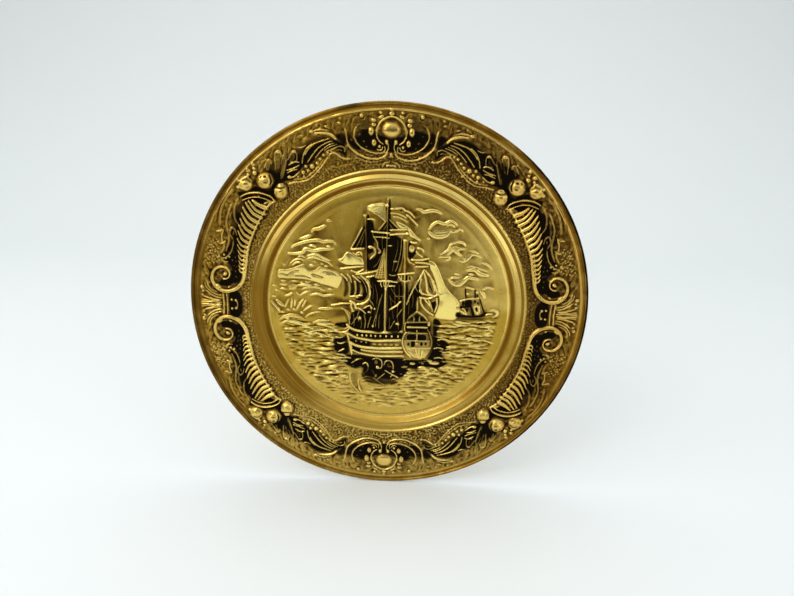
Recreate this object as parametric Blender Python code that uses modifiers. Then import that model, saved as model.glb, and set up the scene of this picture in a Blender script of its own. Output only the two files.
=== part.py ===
"""A pressed brass wall plate with a sailing ship in its well and cornucopias round its border.

The plate is one stamped sheet. It is modelled face up in millimetres on the XY plane, with Z
towards whoever looks at it, and then stood upright: it faces -Y, its top is +Z, and the origin is
the middle of the flat back of the well, the face that lies against the wall.
"""

import bmesh
import bpy
from math import atan2, cos, hypot, pi, radians, sin
from mathutils import Matrix, Vector

MM = 0.001

# The sheet, in millimetres: its border, the shoulder inside it and the well, from the wall outwards.
PLATE_RADIUS = 152.5
SHEET = 0.6
WELL_RADIUS = 92.0
SHOULDER_CREST_RADIUS = 99.7
INNER_BEAD_RADIUS = 104.8
BORDER_INNER_RADIUS = 106.3
BORDER_OUTER_RADIUS = 149.8
BORDER_LEVEL = 5.8
FIELD_LEVEL = SHEET
ROLL_RADIUS = 1.3
TURN_STEPS = 52

# The carving. LIFT keeps the widest line of a round form just off the sheet's face.
EMBED = 0.3
LIFT = 0.13
GOLDEN_SHARE = 0.618
SAIL_RELIEF = 1.2
PEARL = (1.7, 1.7, 1.7)
HORN_RINGS = 15
HORN_CORNERS = 5
HORN_FLATNESS = 0.38
HORN_WAIST = 0.7
HORN_SLANT = 18.0

# Faces that turn less than this are merged, and edges that turn more than this stay sharp.
FLAT_ANGLE = 0.3
CREASE_ANGLE = 20.0

# Where a form is repeated: each pair mirrors it across and up.
ONCE = ((1, 1),)
QUARTERS = ((1, 1), (-1, 1), (-1, -1), (1, -1))
HALVES_UP_DOWN = ((1, 1), (1, -1))
HALVES_LEFT_RIGHT = ((1, 1), (-1, 1))

BRASS_COLOUR = (0.52, 0.36, 0.09, 1.0)
BRASS_ROUGHNESS = 0.32


def clear_scene():
    for item in list(bpy.data.objects):
        bpy.data.objects.remove(item, do_unlink=True)


def new_collection(name):
    collection = bpy.data.collections.new(name)
    bpy.context.scene.collection.children.link(collection)
    return collection


def brass():
    material = bpy.data.materials.new("antiqued_brass")
    material.use_nodes = True
    shader = material.node_tree.nodes["Principled BSDF"]
    shader.inputs["Base Color"].default_value = BRASS_COLOUR
    shader.inputs["Metallic"].default_value = 1.0
    shader.inputs["Roughness"].default_value = BRASS_ROUGHNESS
    return material


def link_mesh(name, mesh, collection):
    item = bpy.data.objects.new(name, mesh)
    collection.objects.link(item)
    return item


def hide_guide(item):
    item.hide_render = True
    item.display_type = "WIRE"


# ---------------------------------------------------------------- the turned sheet

def front_profile():
    """Radius and height of the sheet's front face, from its middle to the start of the rolled edge."""
    return [
        (0.0, FIELD_LEVEL),
        (WELL_RADIUS, FIELD_LEVEL),
        (WELL_RADIUS + 1.2, FIELD_LEVEL + 0.6),
        (SHOULDER_CREST_RADIUS - 2.6, BORDER_LEVEL - 0.6),
        (SHOULDER_CREST_RADIUS, BORDER_LEVEL + 0.6),
        (SHOULDER_CREST_RADIUS + 2.9, BORDER_LEVEL - 0.2),
        (INNER_BEAD_RADIUS, BORDER_LEVEL + 0.8),
        (BORDER_INNER_RADIUS, BORDER_LEVEL),
        (BORDER_OUTER_RADIUS, BORDER_LEVEL),
    ]


def rolled_edge():
    """The edge turned over backwards into an open roll."""
    middle = (PLATE_RADIUS - ROLL_RADIUS, BORDER_LEVEL - 0.5)
    return [arc(middle, ROLL_RADIUS, turn, turn, 1)[0] for turn in (100, 45, 0, -60, -130)]


def turned(name, profile, collection):
    """A profile of radius and height turned round Z."""
    mesh = bpy.data.meshes.new(name)
    points = [(radius * MM, 0.0, height * MM) for radius, height in profile]
    mesh.from_pydata(points, [(i, i + 1) for i in range(len(points) - 1)], [])
    item = link_mesh(name, mesh, collection)
    screw = item.modifiers.new("turn", "SCREW")
    screw.steps = TURN_STEPS
    screw.render_steps = TURN_STEPS
    screw.use_merge_vertices = True
    screw.merge_threshold = 0.00001
    return item


def pressed_sheet(collection):
    sheet = turned("plate", front_profile() + rolled_edge(), collection)
    thickness = sheet.modifiers.new("sheet", "SOLIDIFY")
    thickness.thickness = SHEET * MM
    thickness.offset = -1.0
    thickness.use_even_offset = True
    return sheet


# ---------------------------------------------------------------- carving tools

class Carving:
    """Collects closed forms that stand on the sheet, each copied into the quarters that it is asked for."""

    def __init__(self, collection):
        self.collection = collection
        self.items = []

    def keep(self, name, mesh, copies):
        """Sink the underside about half way into the sheet, and store one copy for each quarter.

        Each form has its own depth, so that no two undersides lie in one plane where forms overlap.
        """
        first = mesh.vertices[0].co
        in_well = hypot(first.x, first.y) < WELL_RADIUS * MM
        level = FIELD_LEVEL if in_well else BORDER_LEVEL
        own_depth = EMBED * (0.6 + 0.8 * (len(self.items) * GOLDEN_SHARE % 1.0))
        underside = (level - own_depth) * MM
        for point in mesh.vertices:
            point.co.z = max(point.co.z, underside)
        for across, up in copies:
            copy = mesh.copy()
            copy.transform(Matrix.Diagonal((across, up, 1.0, 1.0)))
            if across * up < 0:
                copy.flip_normals()
            item = link_mesh(name, copy, self.collection)
            hide_guide(item)
            self.items.append(item)
        bpy.data.meshes.remove(mesh)

    def rod(self, name, path, radius, level, copies=ONCE, end_radius=None):
        """A round bar along a path, half sunk in the sheet, which may taper towards its end."""
        curve = bpy.data.curves.new(name, "CURVE")
        curve.dimensions = "3D"
        curve.bevel_depth = MM
        curve.bevel_resolution = 0
        curve.use_fill_caps = True
        spline = curve.splines.new("POLY")
        spline.points.add(len(path) - 1)
        last = radius if end_radius is None else end_radius
        for index, (x, y) in enumerate(path):
            share = index / (len(path) - 1)
            spline.points[index].co = (x * MM, y * MM, (level + LIFT) * MM, 1.0)
            spline.points[index].radius = radius + (last - radius) * share
        holder = link_mesh(name, curve, self.collection)
        bpy.context.view_layer.update()
        seen = holder.evaluated_get(bpy.context.evaluated_depsgraph_get())
        mesh = bpy.data.meshes.new_from_object(seen)
        bpy.data.objects.remove(holder, do_unlink=True)
        weld(mesh)
        self.keep(name, mesh, copies)

    def dome(self, name, centre, size, level, copies=ONCE, turn=0.0, rounds=6):
        """A half-sunk ellipsoid of the given half sizes along, across and up."""
        mesh = bpy.data.meshes.new(name)
        cage = bmesh.new()
        bmesh.ops.create_uvsphere(cage, u_segments=rounds, v_segments=max(4, rounds // 2), radius=MM)
        place = Matrix.Translation((centre[0] * MM, centre[1] * MM, (level + LIFT) * MM))
        spin = Matrix.Rotation(radians(turn), 4, "Z")
        stretch = Matrix.Diagonal((size[0], size[1], size[2], 1.0))
        bmesh.ops.transform(cage, matrix=place @ spin @ stretch, verts=cage.verts)
        cage.to_mesh(mesh)
        cage.free()
        self.keep(name, mesh, copies)

    def slab(self, name, outline, level, height, copies=ONCE):
        """A flat raised area with the given outline."""
        curve = bpy.data.curves.new(name, "CURVE")
        curve.dimensions = "2D"
        curve.fill_mode = "BOTH"
        curve.extrude = height * MM
        spline = curve.splines.new("POLY")
        spline.points.add(len(outline) - 1)
        for point, (x, y) in zip(spline.points, outline):
            point.co = (x * MM, y * MM, 0.0, 1.0)
        spline.use_cyclic_u = True
        holder = link_mesh(name, curve, self.collection)
        bpy.context.view_layer.update()
        seen = holder.evaluated_get(bpy.context.evaluated_depsgraph_get())
        mesh = bpy.data.meshes.new_from_object(seen)
        bpy.data.objects.remove(holder, do_unlink=True)
        weld(mesh)
        mesh.transform(Matrix.Translation((0.0, 0.0, level * MM)))
        self.keep(name, mesh, copies)

    def pearl(self, name, centre, size, level, copies, turn=0.0):
        """A small faceted ball, half sunk; its half sizes along, across and up may differ."""
        mesh = bpy.data.meshes.new(name)
        cage = bmesh.new()
        place = Matrix.Translation((centre[0] * MM, centre[1] * MM, (level + LIFT) * MM))
        spin = Matrix.Rotation(radians(turn), 4, "Z")
        stretch = Matrix.Diagonal((size[0], size[1], size[2], 1.0))
        bmesh.ops.create_icosphere(cage, subdivisions=1, radius=MM, matrix=place @ spin @ stretch)
        cage.to_mesh(mesh)
        cage.free()
        self.keep(name, mesh, copies)

    def horn(self, name, centres, widths, level, copies):
        """A ribbed horn: a loft of leaning arches whose size swells at each rib."""
        cage = bmesh.new()
        rings = []
        for index, (centre, width) in enumerate(zip(centres, widths)):
            ahead = Vector(centres[min(index + 1, len(centres) - 1)])
            behind = Vector(centres[max(index - 1, 0)])
            heading = ahead - behind
            lean = atan2(heading.y, heading.x) + pi / 2 + radians(HORN_SLANT)
            swell = 1.0 if index % 2 else HORN_WAIST
            ring = []
            for corner in range(HORN_CORNERS):
                turn = pi * corner / (HORN_CORNERS - 1)
                reach = width * swell * cos(turn)
                rise = width * HORN_FLATNESS * swell * sin(turn) - EMBED * 2
                x = centre[0] + reach * cos(lean)
                y = centre[1] + reach * sin(lean)
                ring.append(cage.verts.new((x * MM, y * MM, (level + rise) * MM)))
            rings.append(ring)
        for before, after in zip(rings, rings[1:]):
            for corner in range(HORN_CORNERS):
                beside = (corner + 1) % HORN_CORNERS
                cage.faces.new((before[corner], before[beside], after[beside], after[corner]))
        cage.faces.new(rings[0][::-1])
        cage.faces.new(rings[-1])
        bmesh.ops.recalc_face_normals(cage, faces=cage.faces)
        mesh = bpy.data.meshes.new(name)
        cage.to_mesh(mesh)
        cage.free()
        self.keep(name, mesh, copies)


def weld(mesh):
    cage = bmesh.new()
    cage.from_mesh(mesh)
    bmesh.ops.remove_doubles(cage, verts=cage.verts, dist=0.00001)
    bmesh.ops.recalc_face_normals(cage, faces=cage.faces)
    cage.to_mesh(mesh)
    cage.free()


def arc(centre, radius, start, end, points, squash=1.0):
    """Points on an arc, with angles in degrees from +X."""
    turns = [radians(start + (end - start) * i / max(1, points - 1)) for i in range(points)]
    return [(centre[0] + radius * cos(turn), centre[1] + radius * squash * sin(turn)) for turn in turns]


def spiral(centre, start_radius, end_radius, start, end, points):
    """Points on a spiral that closes from its start radius to its end radius."""
    path = []
    for index in range(points):
        share = index / (points - 1)
        radius = start_radius + (end_radius - start_radius) * share
        turn = radians(start + (end - start) * share)
        path.append((centre[0] + radius * cos(turn), centre[1] + radius * sin(turn)))
    return path


def between(start, end, share):
    return (start[0] + (end[0] - start[0]) * share, start[1] + (end[1] - start[1]) * share)


def along(path, count):
    """Evenly spaced points on a line of straight runs."""
    runs = [hypot(b[0] - a[0], b[1] - a[1]) for a, b in zip(path, path[1:])]
    total = sum(runs)
    result = []
    for index in range(count):
        left = total * index / (count - 1)
        for (start, end), run in zip(zip(path, path[1:]), runs):
            if left <= run + 1e-9:
                result.append(between(start, end, left / run))
                break
            left -= run
    return result


# ---------------------------------------------------------------- the border

def carve_cornucopias(carving):
    spine = [(97.5, 80.5), (101, 69), (105, 57.5), (108, 47.5), (110, 38), (111.2, 28)]
    centres = along(spine, HORN_RINGS)
    widths = [11.5 * (1 - ring / (HORN_RINGS - 1)) ** 1.15 + 1.7 for ring in range(HORN_RINGS)]
    carving.horn("cornucopia", centres, widths, BORDER_LEVEL, QUARTERS)
    tail = [(110.5, 30), (111, 24), (113.5, 18)]
    curl = spiral((126.5, 21.5), 12.5, 3.2, 200, 565, 11)
    carving.rod("volute", tail + curl, 1.5, BORDER_LEVEL, QUARTERS, end_radius=1.1)
    carving.pearl("volute_eye", (125.3, 23.4), (1.8, 1.8, 1.8), BORDER_LEVEL, QUARTERS)
    outer_lip = [(85, 80.5), (91, 85.8), (101, 87), (108.5, 83.5)]
    carving.rod("horn_lip", outer_lip, 1.3, BORDER_LEVEL + 0.6, QUARTERS, end_radius=0.9)


def carve_fruit(carving):
    for centre, radius in (((91.3, 95), 7.2), ((80.2, 87), 5.2), ((105.8, 92), 6.0)):
        carving.dome("fruit", centre, (radius, radius, radius * 0.5), BORDER_LEVEL, QUARTERS, rounds=8)


def carve_leaves(carving):
    """The larger leaf blades: length, width and turn of each, outside the horn and beside the cartouche."""
    for centre, length, width, turn in (
        ((117.5, 64), 14.0, 4.0, -72),
        ((76, 108), 10.5, 3.0, 112),
        ((53, 120), 11.0, 2.6, -40),
    ):
        carving.pearl("leaf", centre, (length, width, 1.9), BORDER_LEVEL, QUARTERS, turn=turn)
    ribbon = [(31, 112.5), (40, 115.5), (46, 112), (52, 103.5), (60, 97.5), (68, 96), (74, 93.5)]
    carving.rod("ribbon", ribbon, 1.0, BORDER_LEVEL, QUARTERS)


def carve_cartouches(carving):
    middle = (0.0, 132.0)
    carving.dome("boss", middle, (7.2, 5.8, 3.2), BORDER_LEVEL, HALVES_UP_DOWN, rounds=10)
    frame = arc(middle, 10.4, -50, 230, 11, squash=0.9)
    carving.rod("boss_frame", frame, 0.9, BORDER_LEVEL, HALVES_UP_DOWN)
    for turn in (-32, 6, 40, 68):
        centre = arc(middle, 15.0, turn, turn, 1, squash=0.93)[0]
        carving.pearl("pearl", centre, PEARL, BORDER_LEVEL, QUARTERS)
    carving.pearl("pearl", (0.0, 145.4), PEARL, BORDER_LEVEL, HALVES_UP_DOWN)
    curl = [(3.2, 124.2), (2.4, 120.0)]
    inner = arc((13.0, 130.0), 13.6, -122, 5, 6)
    carving.rod("inner_scroll", curl + inner[1:], 1.0, BORDER_LEVEL, QUARTERS, end_radius=0.6)
    outer = arc((14.0, 131.0), 18.6, -115, 5, 6)
    carving.rod("outer_scroll", outer, 1.2, BORDER_LEVEL, QUARTERS, end_radius=0.7)


def carve_shells(carving):
    hinge = (124.0, 0.0)
    for step in range(3):
        turn = radians(9 + 18 * step)
        start = (hinge[0] + 5.0 * cos(turn), hinge[1] + 3.5 * sin(turn))
        end = (hinge[0] + 19.0 * cos(turn * 0.8), hinge[1] + 17.0 * sin(turn * 0.8))
        carving.rod("shell_rib", [start, end], 0.8, BORDER_LEVEL, QUARTERS, end_radius=1.5)
    bar = [(124.5, -8.0), (123.6, 0.0), (124.5, 8.0)]
    carving.rod("shell_bar", bar, 1.1, BORDER_LEVEL, HALVES_LEFT_RIGHT)
    carving.pearl("pearl", (143.0, 12.0), PEARL, BORDER_LEVEL, QUARTERS)


# ---------------------------------------------------------------- the picture in the well

def carve_hull(carving):
    upper = [(-31, -17.5), (-24, -19.8), (-10, -20.5), (10.5, -19)]
    lower = [(11.5, -41), (-8, -42.5), (-22, -41), (-28, -38.5)]
    carving.slab("hull_side", upper + lower, FIELD_LEVEL, 1.3)
    for step in range(4):
        drop = 7.0 * step
        start = -31.5 + 1.2 * step
        wale = [(start, -17.5 - drop), (start + 7, -20 - drop), (-10, -20.8 - drop), (10.8, -19.8 - drop)]
        carving.rod("wale", wale, 1.0, FIELD_LEVEL + 1.3)
    middle = 24.0
    stern = arc((middle, -27.0), 12.2, -60, 240, 12, squash=1.25) + [(middle, -43.5)]
    carving.slab("stern", stern, FIELD_LEVEL, 1.7)
    for height, half_width in ((-12.6, 9.5), (-16.6, 11.0), (-20.8, 11.5)):
        bar = [(middle - half_width, height), (middle + half_width, height)]
        carving.rod("stern_rail", bar, 0.8, FIELD_LEVEL + 1.7)
    pediment = [(middle - 9, -11), (middle - 6, -5.5), (middle, -2.8), (middle + 6, -5.5), (middle + 9, -11)]
    carving.rod("pediment", pediment, 0.9, FIELD_LEVEL + 0.7)


def carve_rigging(carving):
    for name, foot, head, thick in (
        ("main_mast", (-1.5, -19.0), (-1.9, 81.0), 1.4),
        ("fore_mast", (-16.6, 27.0), (-18.0, 71.0), 0.9),
        ("mizzen_mast", (13.0, -13.0), (11.7, 54.0), 1.1),
    ):
        carving.rod(name, [foot, between(foot, head, 0.5), head], thick, FIELD_LEVEL + 0.4, end_radius=0.5)
    carving.dome("main_top", (-1.0, 20.5), (7.6, 2.6, 2.0), FIELD_LEVEL)
    carving.dome("mizzen_top", (14.5, 24.5), (5.4, 2.4, 1.8), FIELD_LEVEL)
    for start, end in (
        ((-12.5, 59.4), (14.4, 60.6)),
        ((-10.5, 56.2), (12.0, 57.0)),
        ((-28.5, 45.4), (-14.0, 46.2)),
        ((-36.5, 30.5), (-14.5, 29.5)),
        ((-24.0, 26.8), (-8.5, 27.6)),
        ((17.5, 39.6), (37.0, 36.0)),
        ((27.6, 30.0), (14.5, 2.5)),
        ((-43.0, 0.6), (-8.0, 2.8)),
        ((1.0, -1.0), (11.0, 6.0)),
    ):
        carving.rod("yard", [start, between(start, end, 0.5), end], 0.8, FIELD_LEVEL + 0.5, end_radius=0.6)


def sail(corner, width, drop, belly, lean):
    """A square sail's outline: its head at corner, its foot below, both leeches bowed by the wind."""
    x, y = corner
    left = [(x + belly * sin(pi * share) + lean * share, y - drop * share) for share in (0.25, 0.6, 1.0)]
    right = [(point[0] + width, point[1]) for point in left[::-1]]
    return [corner] + left + right + [(x + width, y)]


def carve_sails(carving):
    for name, corner, width, drop, belly, lean in (
        ("fore_course", (-23.0, 28.5), 11.0, 27.5, 5.0, -3.0),
        ("fore_topsail", (-26.0, 47.2), 15.0, 16.0, -2.0, -4.0),
        ("main_topsail", (-1.0, 56.0), 11.5, 29.0, 1.5, 1.0),
        ("mizzen_topsail", (14.0, 52.5), 11.5, 13.0, 2.5, 5.0),
        ("lateen_sail", (25.0, 31.0), 9.5, 20.0, 5.0, 4.0),
        ("ensign", (26.0, 9.5), 16.0, 13.0, 2.0, 3.0),
    ):
        carving.slab(name, sail(corner, width, drop, belly, lean), FIELD_LEVEL, SAIL_RELIEF)
    pennant = [(-1.0, 77.0), (7.0, 78.5), (16.0, 74.5), (24.0, 66.0), (14.0, 70.0), (6.0, 73.5), (-1.0, 73.0)]
    carving.slab("pennant", pennant, FIELD_LEVEL, SAIL_RELIEF)


def carve_small_ship(carving):
    hull = [(53.5, -2.0), (57, -3.8), (72, -3.8), (82, 0.6), (72, -0.6), (58, -0.8)]
    carving.slab("small_hull", hull, FIELD_LEVEL, 1.2)
    for x in (60.5, 67.5):
        carving.rod("small_mast", [(x, -2.0), (x, 17.5)], 0.7, FIELD_LEVEL, end_radius=0.5)
    for centre in ((60.5, 8.0), (67.8, 7.5)):
        carving.dome("small_sail", centre, (3.2, 5.4, 1.4), FIELD_LEVEL)


def carve_sky_and_sea(carving):
    carving.slab("rising_sun", arc((-74.8, -13.0), 9.5, 0, 180, 7, squash=0.7), FIELD_LEVEL, SAIL_RELIEF)
    for x, y, length in (
        (-59, 49, 16), (-62, 37, 15), (-64, 21, 18), (42, 65, 12), (54, 50, 15), (60, 30, 13),
    ):
        third = length / 3
        streak = [(x - length, y - 1.5), (x - third, y + 1.2), (x + third, y - 0.8), (x + length, y + 0.6)]
        carving.rod("cloud_streak", streak, 1.1, FIELD_LEVEL)
    for row in range(3):
        height = -26.0 - 17.0 * row
        reach = (80.0 ** 2 - height ** 2) ** 0.5
        keep_clear = 40.0 if row < 2 else 6.0
        for side in (-1, 1):
            ends = [side * keep_clear, side * reach]
            wave = []
            for step in range(5):
                x = ends[0] + (ends[1] - ends[0]) * step / 4
                wave.append((x, height + (1.1 if step % 2 else -1.1)))
            carving.rod("wave", wave, 1.0, FIELD_LEVEL)


# ---------------------------------------------------------------- the plate

def raise_carving(plate, forms):
    """Join every carved form to the sheet as one body.

    The exact solver leaves three-sided edges where mirrored forms meet, so this is the manifold one.
    """
    join = plate.modifiers.new("raise_carving", "BOOLEAN")
    join.operation = "UNION"
    join.operand_type = "COLLECTION"
    join.collection = forms
    join.solver = "MANIFOLD"
    tidy = plate.modifiers.new("merge_flat_faces", "DECIMATE")
    tidy.decimate_type = "DISSOLVE"
    tidy.angle_limit = radians(FLAT_ANGLE)
    bpy.context.view_layer.update()
    joined = plate.evaluated_get(bpy.context.evaluated_depsgraph_get())
    mesh = bpy.data.meshes.new_from_object(joined)
    plate.modifiers.clear()
    plate.data = mesh
    mesh.shade_smooth()
    mesh.set_sharp_from_angle(angle=radians(CREASE_ANGLE))


def stand_upright(item):
    item.rotation_euler = (radians(90), 0.0, 0.0)


def build():
    clear_scene()
    parts = new_collection("wall_plate")
    forms = new_collection("carved_forms")
    plate = pressed_sheet(parts)
    carving = Carving(forms)
    carve_cornucopias(carving)
    carve_fruit(carving)
    carve_leaves(carving)
    carve_cartouches(carving)
    carve_shells(carving)
    carve_hull(carving)
    carve_rigging(carving)
    carve_sails(carving)
    carve_small_ship(carving)
    carve_sky_and_sea(carving)
    raise_carving(plate, forms)
    plate.data.materials.clear()
    plate.data.materials.append(brass())
    stand_upright(plate)
    for item in forms.objects:
        stand_upright(item)


build()
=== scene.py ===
import bpy
import numpy as np
from math import cos, pi, radians, sin
from mathutils import Matrix, Vector


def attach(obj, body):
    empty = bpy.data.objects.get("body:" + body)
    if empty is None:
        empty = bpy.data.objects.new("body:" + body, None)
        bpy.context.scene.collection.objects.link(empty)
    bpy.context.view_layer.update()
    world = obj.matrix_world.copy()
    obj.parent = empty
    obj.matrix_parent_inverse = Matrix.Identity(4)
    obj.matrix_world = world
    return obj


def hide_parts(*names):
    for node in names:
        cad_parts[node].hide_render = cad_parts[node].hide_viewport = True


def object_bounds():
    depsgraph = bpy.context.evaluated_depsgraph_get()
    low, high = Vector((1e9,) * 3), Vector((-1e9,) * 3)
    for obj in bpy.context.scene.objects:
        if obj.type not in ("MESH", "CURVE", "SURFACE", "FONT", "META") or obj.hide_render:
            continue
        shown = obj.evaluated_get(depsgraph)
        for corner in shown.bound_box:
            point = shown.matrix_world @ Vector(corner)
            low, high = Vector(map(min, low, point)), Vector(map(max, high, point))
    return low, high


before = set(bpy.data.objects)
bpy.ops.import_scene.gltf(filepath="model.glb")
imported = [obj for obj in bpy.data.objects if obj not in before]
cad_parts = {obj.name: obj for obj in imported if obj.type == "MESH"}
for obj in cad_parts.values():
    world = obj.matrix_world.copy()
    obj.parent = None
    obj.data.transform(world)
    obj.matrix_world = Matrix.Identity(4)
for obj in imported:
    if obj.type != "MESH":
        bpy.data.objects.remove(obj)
cad_low, cad_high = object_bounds()

# ---------------------------------------------------------------- the die and its tools
# The real plate is one disc of thin brass sheet, pressed over a cut steel die. The die is cut here, in
# millimetres from the plate's middle, x to the right and y up, as heights above the plain sheet. Black wax
# is rubbed over the pressed sheet and wiped off its high places, so each cut also says where wax stays.

NET = 0.3
POCKET = 0.45
ROOT = 0.2


def smooth_path(points, closed=False, step=0.7):
    """A curve through a few points, as a string of close ones."""
    p = np.array(points, float)
    if closed:
        p = np.vstack([p[-1:], p, p[:2]])
    else:
        p = np.vstack([2 * p[0] - p[1], p, 2 * p[-1] - p[-2]])
    curve = []
    for a, b, c, d in zip(p, p[1:], p[2:], p[3:]):
        count = max(2, int(np.hypot(*(c - b)) / step) + 1)
        t = np.linspace(0, 1, count, endpoint=False)[:, None]
        bend = 2 * a - 5 * b + 4 * c - d
        twist = 3 * b - a - 3 * c + d
        curve.append(0.5 * (2 * b + (c - a) * t + bend * t * t + twist * t ** 3))
    curve.append(p[-2:-1])
    return np.vstack(curve)


def ease(t):
    t = np.clip(t, 0, 1)
    return t * t * (3 - 2 * t)


def soften(net, across, up=None):
    """Rounds a net of values by so many millimetres, as sheet rounds whatever a die cuts."""
    up = across if up is None else up
    rows = np.fft.fftfreq(net.shape[0], NET)[:, None]
    columns = np.fft.rfftfreq(net.shape[1], NET)[None, :]
    kept = np.exp(-2 * pi ** 2 * ((rows * up) ** 2 + (columns * across) ** 2))
    return np.fft.irfft2(np.fft.rfft2(net) * kept, net.shape)


def uneven(die, seed, across, up):
    """A net of chance swells and hollows of about one, with grains so many millimetres across and up."""
    speckle = np.random.default_rng(seed).standard_normal(die.height.shape)
    swells = soften(speckle, across, up) - soften(speckle, 1.6 * across, 1.6 * up)
    return swells / swells.std()


class Die:
    """A net of heights, with the black wax that stays and the brightness that wiping gives."""

    def __init__(self, left, right, bottom, top):
        self.x = np.arange(left, right + NET / 2, NET)
        self.y = np.arange(bottom, top + NET / 2, NET)
        shape = (len(self.y), len(self.x))
        self.height = np.zeros(shape)
        self.black = np.zeros(shape)
        self.wiped = np.zeros(shape)

    def patch(self, path, margin):
        low = np.min(path, axis=0) - margin
        high = np.max(path, axis=0) + margin
        columns = slice(*np.searchsorted(self.x, (low[0], high[0])))
        rows = slice(*np.searchsorted(self.y, (low[1], high[1])))
        return (rows, columns), self.x[None, columns], self.y[rows, None]

    def distance(self, path, margin):
        """Nearest distance to a path, and how far along it the nearest point is, from 0 to 1."""
        where, x, y = self.patch(path, margin)
        near = np.full((y.shape[0], x.shape[1]), 1e9)
        along = np.zeros_like(near)
        lengths = np.hypot(*np.diff(path, axis=0).T)
        total = max(lengths.sum(), 1e-6)
        run = 0.0
        for a, b, length in zip(path, path[1:], lengths):
            if length < 1e-9:
                continue
            low = np.minimum(a, b) - margin
            high = np.maximum(a, b) + margin
            i = slice(*np.searchsorted(y[:, 0], (low[1], high[1])))
            j = slice(*np.searchsorted(x[0], (low[0], high[0])))
            dx, dy = (b - a) / length
            t = np.clip((x[:, j] - a[0]) * dx + (y[i] - a[1]) * dy, 0, length)
            gap = np.hypot(x[:, j] - a[0] - t * dx, y[i] - a[1] - t * dy)
            closer = gap < near[i, j]
            near[i, j] = np.where(closer, gap, near[i, j])
            along[i, j] = np.where(closer, (run + t) / total, along[i, j])
            run += length
        return where, near, along

    def inside(self, outline, reach):
        """Distance into a closed outline, negative outside it."""
        path = smooth_path(outline, closed=True)
        path = np.vstack([path, path[:1]])
        where, near, _ = self.distance(path, reach)
        _, x, y = self.patch(path, reach)
        odd = np.zeros(near.shape, bool)
        for (ax, ay), (bx, by) in zip(path, path[1:]):
            if ay != by:
                crossing = (y > ay) != (y > by)
                odd ^= crossing & (x < ax + (y - ay) * (bx - ax) / (by - ay))
        return where, np.where(odd, near, -near)

    def raise_to(self, where, share, height, clean):
        """Keeps the higher of the old and the new height wherever share is above nought."""
        taller = (share > 0) & (height > self.height[where])
        self.height[where] = np.where(taller, height, self.height[where])
        self.wiped[where] = np.maximum(self.wiped[where], clean)

    def strand(self, points, width, height, clean=1.0, level=0.0, ends=0.55):
        """A raised line of round section. Its width is ends times as great at both ends."""
        path = smooth_path(points)
        start, stop = (width, width) if np.isscalar(width) else width
        where, near, along = self.distance(path, max(start, stop))
        swell = ends + (1 - ends) * np.sqrt(np.clip(np.sin(pi * along), 0, 1))
        half = 0.5 * (start + (stop - start) * along) * swell
        crown = np.clip(1 - (near / half) ** 2, 0, 1)
        shape = level - ROOT + (height * swell + ROOT) * crown ** 0.75
        self.raise_to(where, crown, shape, clean * ease(crown * 1.6))

    def dome(self, centre, radii, height, clean=0.9, level=0.0, turn=0.0, bulge=0.6):
        """A raised oval; radii is one size or a pair, turned by degrees. A low bulge fills its edges out."""
        rx, ry = (radii, radii) if np.isscalar(radii) else radii
        where, x, y = self.patch(np.array([centre]), max(rx, ry))
        dx, dy = x - centre[0], y - centre[1]
        c, s = cos(radians(turn)), sin(radians(turn))
        u, v = (dx * c + dy * s) / rx, (dy * c - dx * s) / ry
        crown = np.clip(1 - u * u - v * v, 0, 1)
        shape = level - ROOT + (height + ROOT) * crown ** bulge
        self.raise_to(where, crown, shape, clean * ease(crown * 1.5))

    def pad(self, outline, height, edge=1.0, clean=0.8):
        """A low flat shape with a rounded edge."""
        where, depth = self.inside(outline, edge)
        rise = ease(depth / edge)
        self.raise_to(where, depth, height * rise, clean * rise)

    def groove(self, points, width, depth, wax=0.0):
        """A cut line, with wax left in it if wanted."""
        where, near, _ = self.distance(smooth_path(points), width)
        cut = np.clip(1 - (near / (width / 2)) ** 2, 0, 1)
        self.height[where] -= depth * cut
        self.black[where] = np.maximum(self.black[where], wax * cut)
        self.wiped[where] *= 1 - min(1, wax) * cut

    def pocket(self, outline, strength=1.0, edge=1.4, depth=POCKET):
        """Ground sunk below the rest, which keeps its black wax."""
        where, inside = self.inside(outline, edge)
        rise = ease(0.5 + inside / edge)
        self.black[where] = np.maximum(self.black[where], strength * rise)
        self.wiped[where] *= 1 - rise
        self.height[where] -= depth * rise * (self.height[where] > -depth / 2)

    def shade(self, outline, strength, edge=3.0):
        """Wax left thinly over a place, with no change of height."""
        where, inside = self.inside(outline, edge)
        rise = strength * ease(0.5 + inside / edge)
        self.black[where] = np.maximum(self.black[where], rise)
        self.wiped[where] *= 1 - rise


# ---------------------------------------------------------------- the border: the cartouche
# At the top and the bottom of the border a polished boss sits in an oval frame among pearls and petals,
# with two C-scrolls curling up beside it. One half is cut: the other quarters mirror it.

border = Die(-15.0, 154.0, -15.0, 154.0)

for outline, strength, edge in (
    ([(-12, 126.5), (-6, 128), (0, 126.5), (6, 128), (12, 130), (18, 132.4), (23, 132.6), (26.4, 129),
      (25.6, 124.6), (22, 120.5), (14, 118.4), (7, 118), (0, 117.5), (-7, 118), (-12, 120)], 1.0, 2.2),
    ([(28, 131.4), (31, 131), (31, 126), (29, 121.5), (25, 118.5), (21.8, 118.8), (26, 123), (27.8, 128)],
     1.0, 1.8),
    ([(34, 129.6), (37, 130), (39.5, 128), (38, 125), (33.5, 121), (32.5, 125)], 0.75, 2.2),
):
    border.pocket(outline, strength=strength, edge=edge)
border.shade([(9, 138), (13, 142), (19, 142.6), (25, 141), (28, 136), (24, 134), (17, 134), (10, 133)], 0.3,
             edge=5)

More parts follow.
